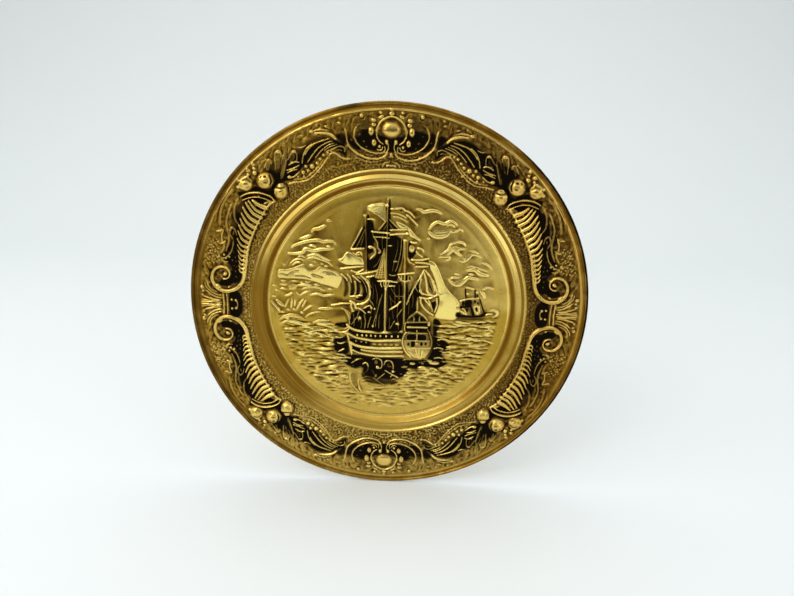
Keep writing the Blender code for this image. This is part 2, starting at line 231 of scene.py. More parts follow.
for centre, radii, height in (
    ((0, 132.8), (7.2, 5.6), 2.0), ((0, 143.6), (2.3, 1.5), 0.8), ((0, 146.1), 1.4, 1.0),
    ((7.9, 144.2), 1.2, 1.0), ((13, 139.2), (2.0, 1.5), 1.1), ((12.8, 136), (2.0, 1.4), 0.8),
    ((14.7, 131.3), (2.3, 3.3), 1.5), ((12.5, 123.6), (2.1, 2.8), 1.4), ((8.5, 121), 1.3, 1.1),
    ((3.3, 124.2), (1.6, 2.0), 1.3), ((0, 116), 1.3, 1.0),
):
    border.dome(centre, radii, height)
for line, width, height, clean in (
    ([(-6, 122.8), (-9, 125), (-10.9, 129.5), (-9.8, 135), (-6, 139.6), (0, 141.6), (6, 139.6), (9.8, 135),
      (10.9, 129.5), (9, 125), (6, 122.8)], 1.5, 1.0, 1.0),
    ([(6.2, 121.3), (6.6, 119.3), (8.6, 118.5), (10.4, 119.2)], 1.0, 0.7, 1.0),
    ([(2.2, 123), (2.0, 120.4), (2.9, 118.1), (4.8, 116.4)], 0.9, 0.8, 1.0),
    ([(4.9, 121.4), (4.5, 118.9), (5.6, 117.2), (9, 116.5), (13, 116.6), (17.5, 117.9), (22, 120.3),
      (25.3, 124), (26.8, 128), (26.4, 132), (25, 134.6)], 1.4, 1.1, 0.85),
    ([(2.6, 117.3), (4.6, 114.7), (8, 113), (13, 112.4), (18, 112.9), (22.5, 114.8), (27, 117.5),
      (30.3, 121), (31.7, 125), (32.3, 129), (33.3, 133)], 1.7, 1.2, 0.9),
    ([(6.5, 111.6), (12, 110.3), (18.5, 110.6), (23.5, 112.4), (28, 115.4)], 0.9, 0.5, 0.5),
    ([(1.6, 110.8), (4, 110), (6.4, 108.6)], 0.9, 0.5, 0.8),
    ([(-3.6, 108.2), (0, 108.5), (3.6, 108.2)], 1.3, 0.6, 1.0),
):
    border.strand(line, width, height, clean=clean)
border.dome((7.4, 141.4), (2.5, 1.2), 0.8, turn=-25)
for curl in ((19.6, 124.2), (22.8, 129.2), (17.8, 120.6), (28.6, 125)):
    border.dome(curl, (1.1, 0.6), 0.3, clean=0.3, turn=20)

border.dome((21.6, 142), 1.5, 1.0)
border.strand([(22.6, 143.7), (20.2, 144), (18.9, 141.8), (19.8, 139.4), (22.6, 138.8)], 0.9, 0.5, clean=0.4)
for fold in (
    [(24, 143.6), (27.5, 143), (29.8, 140.5), (31, 137.5), (32.6, 134)],
    [(25.5, 141), (27.4, 138.5), (28, 135.5), (28.8, 133)],
    [(31, 142.6), (33.2, 139.4), (33.6, 135.2)],
    [(22.2, 137.4), (23.8, 135.8), (25.6, 135.2)],
    [(40.2, 138.4), (41.6, 135), (41, 131.4)],
    [(43, 139.4), (44.8, 136.4), (44, 132.6)],
):
    border.strand(fold, 1.3, 0.45, clean=0.25)
for centre, radii, height in (
    ((36.6, 140.3), 1.0, 0.6), ((37.4, 136.8), (1.6, 0.8), 0.5), ((46.4, 134.1), (1.8, 0.7), 0.5),
    ((53, 134.8), 0.9, 0.6),
):
    border.dome(centre, radii, height)

# ---------------------------------------------------------------- the border: fronds, ribbon and pearls
# A frond sweeps down from each scroll to the fruit, over a deep black ground. A ribbon of two lines and a
# string of pearls run under it, and hooked leaves stand at its end.

border.pocket([(33.4, 121.4), (40, 125), (47, 127), (54, 127.2), (60, 124), (64, 119.6), (68, 118.4),
               (73, 116), (76, 113.5), (80, 111), (85, 108.5), (92, 104.4), (88.5, 101.5), (85.4, 98),
               (84, 95), (85.6, 88), (82.5, 92), (79, 94.6), (75, 95.4), (70.5, 97.4), (66.5, 101.6),
               (62, 106.6), (57, 108.4), (52, 113.4), (46, 117.8), (40.5, 119.6), (36, 118.2)], edge=2.2)
border.pocket([(32.4, 118.8), (35, 119.2), (39, 118.6), (37, 116.4), (33.4, 114), (31.4, 114)], strength=0.7)

border.strand([(39.5, 125.6), (42.5, 128.2), (47.5, 129.6), (54, 129.4)], (2.6, 1.8), 1.3)
border.strand([(45, 131.2), (49, 132), (53, 131.5), (56.5, 130.5)], 1.2, 0.7)
border.dome((56.6, 130.5), (1.8, 1.2), 1.1, turn=-12)
for frond, width in (
    ([(44, 125.8), (50, 124), (55, 121.8), (59, 118.2), (61.5, 114)], 1.4),
    ([(42, 124.2), (47, 122.4), (52, 118.8), (56, 114), (59.6, 108.8)], 1.2),
    ([(40.4, 122.8), (45, 121), (50, 116.8), (54, 112)], 1.0),
    ([(56, 122.4), (60, 118.6), (62.6, 113.6), (63.6, 108)], 1.1),
    ([(38.6, 121.8), (43, 120.4), (47.6, 117.4)], 0.9),
    ([(60.6, 120.8), (64, 119.2), (67, 119.8)], 0.8),
):
    border.strand(frond, width, 0.95, clean=0.8)
for line, width, height, clean in (
    ([(33.2, 116.6), (33.2, 119.2), (35.8, 120.5), (38.8, 120), (42, 118.2), (46, 116.6)], 1.1, 0.8, 0.6),
    ([(35, 117.2), (37, 118.2), (39.4, 117.6)], 0.8, 0.6, 0.4),
    ([(29.4, 112.4), (32, 111.8), (35.5, 112.8), (38.5, 115), (40.6, 116), (43.8, 114.8)], 1.3, 0.8, 1.0),
    ([(43.4, 114.6), (46.5, 110.2), (50, 105.2), (54, 100.7), (58, 97.3), (62, 95.4), (67, 94.9)], 1.1, 0.7,
     0.8),
    ([(47.8, 111.2), (51, 106.6), (55, 102.4), (60, 98.6), (65, 96.9), (70, 96.3)], 1.0, 0.6, 0.6),
    ([(67, 95), (70.5, 94.4), (74.5, 93)], 1.1, 0.8, 1.0),
):
    border.strand(line, width, height, clean=clean)
for centre, radius in (
    ((42.3, 116.8), 0.9), ((44.9, 115.9), 0.95), ((47.9, 114.2), 1.2), ((50.3, 111.3), 1.2),
    ((52.6, 108.3), 1.35), ((56.3, 106.1), 2.0), ((60.9, 106), 1.3), ((59.3, 103.1), 1.2),
    ((62.8, 101.6), 1.6), ((57.3, 100.9), 0.8), ((62.3, 98.7), 0.8), ((66.8, 98.6), 0.8),
):
    border.dome(centre, radius, 1.0 * radius ** 0.7)

for tongue, widths in (
    ([(70, 115.4), (70.6, 112), (71.6, 108.8)], (3.8, 3.2)),
    ([(80.8, 115.6), (81, 110.6), (81.6, 105)], (4.2, 2.6)),
    ([(88.5, 109.4), (88.9, 106.4), (89.4, 103.4)], (3.4, 2.4)),
    ([(75.4, 124), (75.4, 117), (76.6, 108), (79, 97.6)], (1.8, 3.6)),
    ([(71.6, 122.6), (72.4, 117.6), (73.6, 113)], (1.6, 2.6)),
):
    border.strand(tongue, widths, 0.6, clean=0.25, ends=0.7)
for cut, width, depth, wax in (
    ([(76, 112), (77, 106.4), (78.8, 99.4)], 0.9, 0.5, 0.8),
    ([(70.6, 113.6), (71.2, 109.6)], 0.9, 0.4, 0.7), ([(81, 113.2), (81.4, 107)], 1.1, 0.5, 0.8),
):
    border.groove(cut, width, depth, wax=wax)
for line, width, height, clean in (
    ([(67.6, 109.8), (67.3, 113), (67.8, 115.9), (69.6, 116.7), (71.3, 114.9), (73, 112), (74.6, 110.2)],
     1.3, 1.0, 0.5),
    ([(79, 112.4), (78.9, 115), (80.6, 116.8), (82.7, 115.8), (83.5, 111.6), (83.2, 104)], 1.2, 0.9, 0.55),
    ([(74.6, 113.4), (76.2, 106.6), (78.6, 98.4)], 1.6, 0.8, 0.45),
    ([(77.2, 114), (78.2, 110.4), (79.2, 107.4)], 1.2, 0.7, 0.3),
    ([(86.4, 107.4), (86.7, 109.8), (88.3, 110.3), (90, 107.8), (91.3, 104.4)], 1.2, 0.9, 0.55),
):
    border.strand(line, width, height, clean=clean)
for centre, radii, height, clean in (
    ((69.3, 116.4), (1.9, 1.2), 1.3, 0.75), ((80.8, 116.1), (2.3, 1.4), 1.4, 0.8),
    ((90.2, 110.6), 0.9, 0.6, 0.9),
):
    border.dome(centre, radii, height, clean=clean)
for barb in (
    [(65.8, 108.8), (69, 109.2), (73.4, 106.8)],
    [(65.8, 106.9), (70, 104.6), (75.2, 103)],
    [(67, 104), (71, 103), (74.8, 101.2)],
):
    border.strand(barb, 1.3, 0.9, clean=0.85)
border.strand([(65.8, 102), (69.4, 98.9), (72.4, 97.7)], 1.3, 1.0)
border.dome((73.3, 98.2), (2.0, 1.5), 1.3)
for soft in (
    [(72, 124.5), (73.4, 120.6), (73, 117.4)], [(76.4, 121.8), (77, 118), (76, 115)],
    [(91, 110), (93.6, 107.6), (95, 104.4)], [(62, 127.6), (66, 126.6), (69, 123.6)],
):
    border.strand(soft, 1.6, 0.4, clean=0.2)

# ---------------------------------------------------------------- the border: fruit
# Three fruits and a sprig of berries spill from the mouth of each horn. Each is a dome with its calyx
# dimples and cheeks cut into it, and black wax in the cuts.

border.pocket([(83.6, 93), (86.4, 89.6), (92, 87.6), (98.6, 91), (101.6, 87.6), (107, 86.4), (111, 86.8),
               (110, 83.6), (104.6, 85.8), (96, 85.4), (88.4, 82), (85.6, 82.6), (84.4, 87)])
for centre, radii, height in (
    ((91, 95.3), (7.1, 6.6), 4.2), ((79.8, 87.7), (5.8, 6.6), 3.8), ((105.4, 92.8), (5.8, 6.0), 3.4),
):
    border.dome(centre, radii, height, bulge=0.75)
for cut, width, depth, wax in (
    ([(88, 99.8), (86.7, 97.2), (86.5, 94.4), (88, 91.8)], 1.3, 0.8, 1.0),
    ([(90.2, 98.6), (90.9, 98.4)], 2.2, 0.9, 1.1), ([(93.6, 98.4), (94, 98.1)], 1.8, 0.8, 0.8),
    ([(89.6, 94.8), (91, 94.4)], 2.4, 0.5, 0.7), ([(93, 92.6), (95.4, 93.4)], 3.4, 0.7, 0.35),
    ([(96, 97), (96.6, 95.4)], 2.0, 0.4, 0.3), ([(76.6, 91.2), (79.4, 90.2), (83, 91)], 1.7, 0.7, 0.75),
    ([(77.6, 87), (78.2, 85.8)], 2.4, 0.5, 0.4), ([(82.4, 86.8), (82.8, 85.4)], 2.4, 0.5, 0.45),
    ([(79.4, 82.8), (81.4, 82.6)], 1.6, 0.4, 0.3),
    ([(101.6, 94.2), (104, 95.8), (107, 95.2)], 1.9, 0.7, 0.6), ([(102.6, 90.8), (104, 90)], 2.4, 0.6, 0.5),
    ([(107.4, 91), (108.4, 92)], 2.2, 0.5, 0.45), ([(105, 87.8), (107, 88.2)], 1.5, 0.4, 0.3),
):
    border.groove(cut, width, depth, wax)
for centre, radii, level in (
    ((92.3, 96.5), (1.3, 1.0), 2.7), ((88.8, 92.4), (1.6, 1.2), 2.2), ((80.2, 88.6), (1.4, 1.1), 2.3),
    ((83.6, 89), (1.2, 1.0), 1.8), ((79.6, 93), (2.4, 1.2), 1.7), ((105.8, 93), (1.4, 1.1), 2.1),
    ((104.6, 97.4), (2.2, 1.2), 1.3), ((101.4, 92.6), (1.2, 1.2), 1.5),
):
    border.dome(centre, radii, 0.6, level=level, clean=1.0)
border.dome((110.6, 90.4), 1.7, 1.4)
border.dome((110.4, 94.8), 1.4, 1.2)
for centre, radius in (
    ((98.6, 100.6), 1.9), ((99.8, 106.6), 1.6), ((99, 103.8), 1.3), ((103.6, 102.4), 1.7),
    ((103.2, 99.4), 1.3),
):
    border.dome(centre, radius, 0.9 + 0.4 * radius, clean=1.0)

# ---------------------------------------------------------------- the border: the horn of plenty
# A fluted horn runs from its lipped mouth under the fruit down to a scrolled tail at the side of the plate.
# Its inner side is one smooth rubbed band, and the flutes grow out of it over black.

scroll = [(109.6, 28), (110.5, 22), (113.2, 16.2), (118, 11.8), (124, 10.2), (129.2, 11.2), (133, 14.6),
          (134.9, 19.4), (134.2, 24.4), (131.4, 28), (127.6, 29.4), (123.8, 28.6), (121.4, 25.8),
          (121.4, 22.6), (123.4, 20.3), (126.4, 19.8)]
border.pocket([(88, 80), (92, 83), (101, 84), (108, 83), (109.6, 79), (112.6, 76), (116, 71), (117.8, 65),
               (117.8, 58), (119, 50), (122.6, 43), (126, 38.6), (123.6, 34), (120, 29.4), (118.4, 22.4),
               (118.4, 16.6), (114.8, 17.6), (112, 24), (111, 32), (109.4, 40), (106.8, 48), (103, 57),
               (98.4, 66), (92, 74)], edge=1.8)
border.pocket([(116.6, 27), (121.4, 25), (124.4, 20), (129, 19), (129.6, 15.6), (124.6, 13.8), (119.6, 16),
               (115.6, 20.6)], edge=1.4)
border.shade([(128, 27), (131.6, 25), (132.6, 20), (130, 16.4), (127, 20), (128, 24)], 0.3)
border.shade([(119, 70), (122, 66), (124, 60), (124, 52), (121, 46), (118, 52), (118.6, 60), (118, 66)],
             0.6, edge=3)
border.strand([(88, 79.6), (93.6, 76.2), (98.2, 68), (102.8, 58.4), (107.2, 45.8), (109.2, 35),
               (110.6, 25.6)], (5.2, 2.2), 1.0, ends=0.8, clean=0.7)
for flute, width, height in (
    ([(91, 75.2), (95.8, 77.5), (100.5, 81.2)], 2.7, 2.6),
    ([(92.8, 71), (98.2, 74), (103.3, 80.6)], 2.1, 2.2),
    ([(95, 68.2), (100.6, 71.8), (105.5, 79.2)], 2.3, 2.1),
    ([(97.4, 64.2), (102.8, 68), (107.7, 75.6)], 2.3, 2.1),
    ([(99.8, 60.2), (104.8, 64), (108.9, 71.2)], 2.2, 2.0),
    ([(102, 56.2), (106.6, 60), (110.1, 66.8)], 2.1, 1.9),
    ([(103.8, 52.4), (108.2, 55.8), (111.3, 62.2)], 2.0, 1.9),
    ([(105.4, 48.6), (109.4, 51.4), (112.3, 57.4)], 1.9, 1.8),
    ([(106.6, 45), (110.4, 46.7), (113.3, 51.6)], 1.6, 1.7),
    ([(107.8, 41.4), (111, 42.7), (113.5, 47)], 1.5, 1.6),
    ([(108.6, 38), (111.4, 38.9), (113.5, 42.6)], 1.4, 1.5),
    ([(109.2, 34.6), (111.8, 35.3), (113.5, 38.6)], 1.4, 1.4),
    ([(109.8, 31.4), (112.2, 31.8), (113.5, 34.5)], 1.2, 1.3),
    ([(110.4, 28.2), (112.6, 28.7), (113.7, 31.1)], 1.2, 1.2),
    ([(110.8, 25.2), (112.8, 25.7), (113.9, 27.9)], 1.2, 1.1),
):
    # each flute swells out of the band as a knob and thins toward its tip
    border.strand(flute, (2 * width, 1.1 * width), height, level=0.2, ends=0.8, clean=0.9)
    border.dome(flute[0], (2.2, 0.6 * width + 0.3), height, level=0.2, clean=1.0, turn=25)
border.strand([(84.8, 80.4), (90.2, 75.7), (95.4, 67.2), (100.4, 57.2), (105.4, 44.6), (107.6, 34.2),
               (109.4, 24.6)], (1.8, 2.4), 1.5, ends=0.8, clean=0.95)
border.strand([(84.8, 80.6), (86.4, 83.2), (90, 85.2), (95, 86.6), (100.5, 86.7), (105, 85.6),
               (109.2, 83.4)], 2.3, 2.1)
border.strand([(86.6, 78.6), (89, 81), (93, 82.7), (97.8, 83.5), (103, 82.8), (108.2, 80.6)], 1.7, 1.8,
              clean=0.95)
border.strand(scroll, (4.4, 2.0), 2.0, ends=0.85)
border.groove(scroll[2:11], 0.9, 0.6, 0.4)
for centre, radii, height, turn in (
    ((130.4, 14), (2.8, 1.5), 1.9, 35), ((124.8, 23.7), (2.2, 1.7), 1.9, -20),
    ((122.4, 13.6), (1.5, 1.0), 1.5, -30),
):
    border.dome(centre, radii, height, turn=turn)
for centre in (
    (115.8, 33.6), (117.6, 30), (116.8, 26), (116.2, 37), (118.6, 34.6), (119, 38.6), (116.6, 21.6),
    (117.4, 41), (115.6, 29.4), (114.6, 44), (121, 40.6), (122.6, 38.4), (120.4, 36),
):
    border.dome(centre, (0.8, 1.2), 0.4, clean=0.3, level=-0.2)

# ---------------------------------------------------------------- the border: leaves beside the horn
# Looped leaves and a long stem fill the outer side of each horn, pressed in the same sheet. They are dull
# where they lie in the black, and small seeds are scattered outside the scroll.

for leaf, width, clean in (
    ([(110.8, 82.4), (113.2, 78), (114.6, 73.4), (114.2, 67.6)], 1.8, 0.42),
    ([(111.8, 62.5), (114, 65.8), (115.4, 70.8)], 1.7, 0.4),
    ([(113.6, 54.4), (115, 58.6), (117.6, 59.8), (119, 55.6), (117, 51.2)], 1.7, 0.45),
    ([(115.8, 57.2), (116.6, 54.4)], 1.5, 0.3),
    ([(116.8, 50), (117.6, 45), (119.6, 40.4), (123, 37), (126.6, 35.8)], 1.5, 0.55),
    ([(116.4, 77.4), (119.2, 71.2), (121, 65.4), (120.6, 59.6), (119.8, 53.8), (120.8, 47.6), (123, 41.6)],
     1.9, 0.5),
    ([(123.4, 48.4), (124.6, 44), (126.4, 41)], 1.2, 0.5),
    ([(114.6, 88), (119.6, 82.4), (123.4, 75.8), (125.6, 68.6), (126, 62)], 2.4, 0.35),
    ([(118.6, 86.4), (123.6, 80), (127.4, 72.6), (129.2, 66)], 2.2, 0.25),
    ([(122, 33.4), (125.2, 33.4), (127.6, 35.6)], 1.2, 0.7),
):
    border.strand(leaf, width, 0.3 + 0.4 * width, clean=clean)
for tendril in (
    [(124, 58.6), (126.4, 57.4), (129.4, 57.2)], [(123.8, 58), (125.4, 54), (125, 48.4)],
    [(122.8, 49.6), (125, 48), (127.6, 47.6)],
):
    border.strand(tendril, 1.3, 0.7, clean=0.8)
for soft in (
    [(134, 58), (136, 54), (137.6, 49)], [(131, 68), (134, 63), (136.4, 57)],
    [(124, 85.6), (128.4, 80), (132, 73)], [(115, 94), (119.6, 89.4), (123.4, 84.6)],
    [(108, 102.4), (112, 98.4), (115.4, 94.4)],
):
    border.strand(soft, 2.2, 0.35, clean=0.2)
for centre in ((124.6, 38.8), (128.6, 37.6), (120.8, 37.4), (123.4, 36.2)):
    border.dome(centre, 1.1, 0.9)
scatter = np.random.default_rng(5)
for row in range(8):
    # seeds in uneven rows over the scroll
    for x in np.arange(128.5, 139.8, 2.3):
        dx, dy, size = scatter.uniform(-0.5, 0.5, 3)
        y = 32.8 + 2.35 * row
        if np.hypot(x, y) < 144:
            border.dome((x + 1.1 * (row % 2) + dx, y - 0.3 * (x - 134) + dy), (1 + 0.3 * size, 0.8), 0.5,
                        clean=0.7, turn=30)

# ---------------------------------------------------------------- the border: the shell
# A fanned shell stands between the two scrolls at each side, on a double bar with a black pocket inside it.
# Its ribs are pressed as raised lines and rubbed bright on their tops.

border.pocket([(112.6, 0), (114, 8), (118, 10.4), (122.4, 7.6), (122.8, 0), (122.4, -7.6), (118, -10.4),
               (114, -8)])
for x in (124.2, 127):
    border.strand([(x + 0.4, -8.6), (x, -4), (x - 0.1, 0), (x, 4), (x + 0.4, 8.6)], 1.3, 1.2, clean=0.75)
border.strand([(116.6, -0.6), (116.9, 1.8), (118.5, 3.8)], 1.1, 0.8, clean=0.7)
border.dome((117.8, 3.2), 1.2, 1.0)
border.dome((120.9, 3.5), 1.1, 1.1)
for fan, width in (
    ([(128.8, 0.9), (134, 1.3), (139, 1.0), (144.4, 0.8)], 1.6),
    ([(129.6, 2.6), (134, 3), (138, 4), (142, 5.4)], 1.7),
    ([(129.2, 4.4), (133, 5.3), (136.5, 7.2), (140, 10)], 1.6),
    ([(128.8, 6.4), (133, 7.4), (137, 9.8), (140, 13.6), (140.6, 16.4)], 1.5),
    ([(133, 9.4), (136.4, 11.6), (138.4, 14.6), (138.8, 18)], 1.1),
    ([(130, 1.7), (135, 2.1), (140, 2.3), (144, 2.9)], 0.9),
):
    border.strand(fan, width, 0.4 + 0.3 * width, clean=0.85)
for centre, radii, height in (((142.8, 6.6), 1.1, 0.8), ((143.1, 12.6), 1.7, 1.1), ((142.2, 9.8), 1.2, 0.9)):
    border.dome(centre, radii, height)

# ---------------------------------------------------------------- the border: its ground
# The rest is soft: leaf strokes pressed faintly outside the fruit and fronds, on ground that was matted
# with a punch and blacked, then rubbed back to brown.

for stroke in (
    [(49, 138.4), (53.6, 135), (57, 130.8)], [(58.6, 135.6), (61.6, 131.4), (63, 126.6)],
    [(56, 137), (58.4, 132.6), (59, 128)], [(64.4, 132.4), (67.6, 127.8), (69, 122.6)],
    [(71, 128.4), (74, 123), (74.4, 117.6)], [(75.4, 125.6), (79, 120.6), (80.6, 115.4)],
    [(82, 121), (85, 116.8), (86.4, 111.4)], [(86.6, 117.6), (90, 113), (91.2, 107.6)],
    [(92.4, 113), (94.8, 109), (95.4, 103.6)], [(8.6, 139), (12.4, 142.6), (17, 143.6)],
    [(136.6, 24), (139, 28.4), (140.2, 34)], [(137.6, 17.4), (140.2, 21), (142, 26.4)],
    [(139.6, 40), (139, 46), (137, 52)], [(10.6, 108.6), (16, 107.6), (22, 107.8)],
    [(24.6, 108), (31, 107.6), (36.4, 105.8)], [(40, 106.4), (46, 103), (51, 98.4)],
):
    border.strand(stroke, 1.7, 0.4, clean=0.25)
pebbles = uneven(border, 7, 0.42, 0.42)
leafy = uneven(border, 8, 1.0, 1.0)
from_middle = np.hypot(border.x[None, :], border.y[:, None])
bare = (border.height > -0.05) & (border.height < 0.3)
near_well = ease((from_middle - 105.4) / 1.2) * ease((124 - from_middle) / 8)
near_edge = ease((from_middle - 118) / 6) * ease((146.4 - from_middle) / 1.6)
border.height += bare * (0.11 * near_well * pebbles + 0.14 * near_edge * leafy)
rubbed_back = near_well * ease(0.9 * pebbles) * 0.6 + near_edge * ease(0.6 * leafy) * 0.3
border.wiped = np.maximum(border.wiped, bare * rubbed_back)
blacked = 0.40 * near_well * ease(0.5 - 0.6 * pebbles) + 0.30 * near_edge * ease(0.5 - 0.5 * leafy)
border.black = np.maximum(border.black, blacked)

# ---------------------------------------------------------------- the well: sea
# The recessed middle of the plate shows a galleon at sea. The swell is many short uneven ridges that grow
# fainter towards the rim, with black wax left thick on the water round the hull.

well = Die(-95.0, 95.0, -95.0, 95.0)
for outline, strength, edge in (
    ([(-30, -41), (-38, -41.6), (-36.4, -44.6), (-32, -49.4), (-24.7, -52.4), (-20, -50.6), (-14, -56),
      (-6, -60), (3, -61), (10, -59.6), (16, -55.4), (18, -50.6), (24, -51.4), (28.7, -49.4), (35.3, -48.8),
      (41, -49.6), (48, -45), (43, -38.4), (49, -34), (47.4, -28), (39, -21.6), (41.4, -11), (36, -8.6),
      (36, -20), (36.4, -31), (34, -39), (30.4, -43), (20, -43.6), (11, -42.6), (-4, -43), (-14, -42.4),
      (-24, -41)], 1.0, 1.8),
    ([(-40.4, -14.4), (-34, -13.6), (-31.2, -15), (-32.6, -17.6), (-37, -17.8), (-41, -16.4)], 0.8, 1.4),
    ([(-41.4, -25.6), (-35, -26.4), (-32.4, -25), (-31.4, -31), (-30.6, -39), (-36, -41), (-41.4, -37),
      (-42.4, -31)], 1.0, 1.4),
):
    well.pocket(outline, strength=strength, edge=edge)
outline = [(-95, -12.6), (-60, -13), (-42, -13), (-36, -23), (-30, -42), (14, -43), (24, -44), (34, -39),
           (38, -26), (38, -13), (60, -9), (95, -11), (95, -95), (-95, -95)]
where, depth = well.inside(outline, 3.0)
water = np.zeros(well.height.shape)
water[where] = ease(depth / 2.5)
water *= ease((88 - np.hypot(well.x[None, :], well.y[:, None])) / 5)
round_boat, depth = well.inside([(-31, -53), (-24, -50), (-10, -43), (6, -43), (10, -56), (11, -64),
                                 (2, -70), (-12, -70), (-22, -76), (-30, -66)], 2.0)
water[round_boat] *= 1 - 0.8 * ease(0.5 + depth / 2)
ripple = uneven(well, 21, 2.8, 0.72)
chop = uneven(well, 22, 1.2, 0.45)
waves = ripple + 0.3 * chop
calm = 0.55 + 0.45 * ease((well.y[:, None] + 84) / 34)
well.height += 0.30 * water * calm * waves
in_black = ease(well.black * 1.5)
crests = ease(0.8 * waves - 0.1 - 0.72 * in_black)
well.wiped = np.maximum(well.wiped, water * crests * (0.5 + 0.4 * calm))
troughs = 0.34 * water * calm * ease(-0.7 * waves - 0.15)
well.black = np.maximum(well.black * (1 - 0.95 * crests * (in_black > 0.02)), troughs)
for crest, width in (
    ([(-58.7, -14.7), (-53.3, -12.7), (-46, -12.7)], 2.2), ([(66, -20.7), (70, -20.4), (74.7, -21)], 2.2),
    ([(49.3, -24), (54.7, -23.3), (60, -24.3), (65.3, -23), (69.3, -25), (76, -24.7), (84, -27)], 1.7),
    ([(60.7, -16), (65, -15), (70, -15)], 1.4), ([(70, -10), (73, -9.2), (77, -9.3)], 1.5),
    ([(76, -16), (79.5, -15.8), (83, -16.7)], 1.4), ([(53.3, -9.3), (56, -9.6), (59.3, -10.3)], 1.3),
    ([(24.7, -68.7), (32, -69.3), (40, -68.7)], 1.8), ([(-15.3, -82), (-11.6, -81.2), (-8, -81.3)], 1.6),
    ([(14, -57.7), (16.4, -56.9), (18.7, -57.3)], 2.0), ([(25.3, -50), (28.6, -49.2), (32, -49.7)], 1.6),
    ([(34.7, -50), (38, -50.4), (40.7, -52)], 1.6), ([(41, -14.4), (46, -13.2), (52, -14), (58, -13)], 1.9),
    ([(39.6, -26), (44, -24.6), (50, -26.4)], 1.7),
    ([(43.4, -36.4), (49, -35.4), (56, -37.6), (61, -36.4)], 1.9),
    ([(37.4, -41.6), (41, -40.6), (45, -41.6)], 1.2), ([(36.8, -33.4), (40.6, -32.2), (45, -33.4)], 1.1),
    ([(39, -18.6), (43, -18), (48, -19.8), (54, -18.4)], 1.6),
    ([(-83.3, -16), (-78.7, -14), (-72, -14.7), (-65.3, -17.3), (-58.7, -20)], 2.8),
    ([(-56, -16), (-49.3, -16.7), (-41.3, -19.3)], 1.8), ([(-46, -21.9), (-41, -21.2), (-35.5, -22)], 1.9),
    ([(-41, -25.8), (-38, -26.6), (-35, -25.8)], 1.2), ([(-40, -30.9), (-37, -31.6), (-33.6, -30.4)], 1.4),
    ([(-39, -38.8), (-36.6, -37.4), (-34, -36)], 1.1), ([(-44, -42.4), (-38, -43.7), (-29, -43.5)], 1.5),
    ([(-62, -25), (-56, -23.6), (-50, -25.4), (-45, -24.6)], 2.0),
    ([(-33, -82.6), (-27, -81.8), (-22, -82.8)], 1.4),
):
    well.strand(crest, width, 0.55, clean=0.95, ends=0.35)
well.groove([(-77.3, -16.4), (-75, -16.2), (-72.7, -17)], 0.9, 0.3)

# ---------------------------------------------------------------- the well: the rowing boat
# A ship's boat with its crew lies below the galleon, half lost in the black water. It is a few thin lines of
# the same pressed sheet, rubbed bright on their tops.

for line, width, clean in (
    ([(-38, -43.9), (-33, -43.4), (-28.7, -43.7)], 1.6, 0.9),
    ([(-28.7, -48.3), (-25.3, -46), (-20.7, -43.7)], 1.1, 0.6),
    ([(-19.3, -48.8), (-16.5, -47.3), (-14.7, -50.3), (-15.3, -54), (-18.7, -57.3)], 1.2, 0.85),
    ([(-12, -53.4), (-9.8, -56.6), (-8.8, -60)], 1.1, 0.6),
    ([(-10.7, -60), (-6.4, -63.2), (-2, -66)], 1.0, 0.85),
    ([(-8, -62), (-4.6, -59.2), (-1.3, -56)], 1.0, 0.8),
    ([(-1.3, -53.3), (4, -56.4), (10, -59.3)], 1.1, 0.9),
    ([(3.3, -59.3), (5.3, -57.2), (9.3, -60)], 1.2, 0.7),
    ([(4, -61.8), (6.6, -60.4), (9.6, -62.6)], 0.9, 0.5),
    ([(-19, -60.6), (-15.4, -59.2), (-11.6, -59.6)], 1.0, 0.6),
    ([(-19.4, -63), (-15.8, -61.8), (-12.4, -62.4)], 1.0, 0.6),
    ([(-18.8, -65.6), (-15.4, -64.6), (-11.4, -65.2)], 1.0, 0.55),
    ([(-12, -68.4), (-6, -69), (1, -67.6)], 1.5, 0.8),
    ([(-28.9, -55.3), (-29.4, -60), (-28.6, -64.4), (-26, -69), (-21.3, -74)], 1.2, 0.6),
    ([(-22, -60.7), (-22.7, -64.7), (-21.3, -70.4), (-19.8, -74)], 1.0, 0.6),
    ([(-22, -68), (-21.4, -70.6), (-20.3, -72.7)], 1.3, 1.0),
    ([(-28.4, -54.6), (-25, -56.6), (-21.4, -58)], 1.0, 0.45),
    ([(12.7, -44), (15.6, -43.2), (18.7, -43.3)], 1.0, 0.5),
):
    well.strand(line, width, 0.7, clean=clean, ends=0.5)
well.strand([(-11.4, -44.4), (-8.4, -43), (-4.8, -44.4), (-3.6, -47.8), (-4.4, -51.2), (-7.6, -52)], 1.2,
            0.8, clean=0.8)
well.strand([(-2.2, -49), (-0.6, -45.4), (3, -45), (5.2, -48.2), (5.4, -52.4)], 1.2, 0.8, clean=0.65)
for centre, radii, height, clean in (
    ((-7.3, -51), 1.6, 1.0, 0.9), ((-8.4, -58.2), (1.0, 1.5), 0.8, 0.9), ((5.3, -54.3), 1.3, 0.9, 0.9),
    ((-8.4, -46.4), (1.9, 2.3), 0.7, 0.3), ((1.3, -48.6), (1.7, 2.2), 0.5, 0.15),
    ((20.7, -46.7), (2.6, 1.3), 0.6, 0.9), ((38, -45.4), (5, 1.9), 0.5, 0.9),
    ((14, -50), (2.6, 1.0), 0.5, 0.5),
):
    well.dome(centre, radii, height, clean=clean)
well.groove([(4, -65.4), (6.6, -64.6), (9.3, -63.4)], 1.4, 0.4)
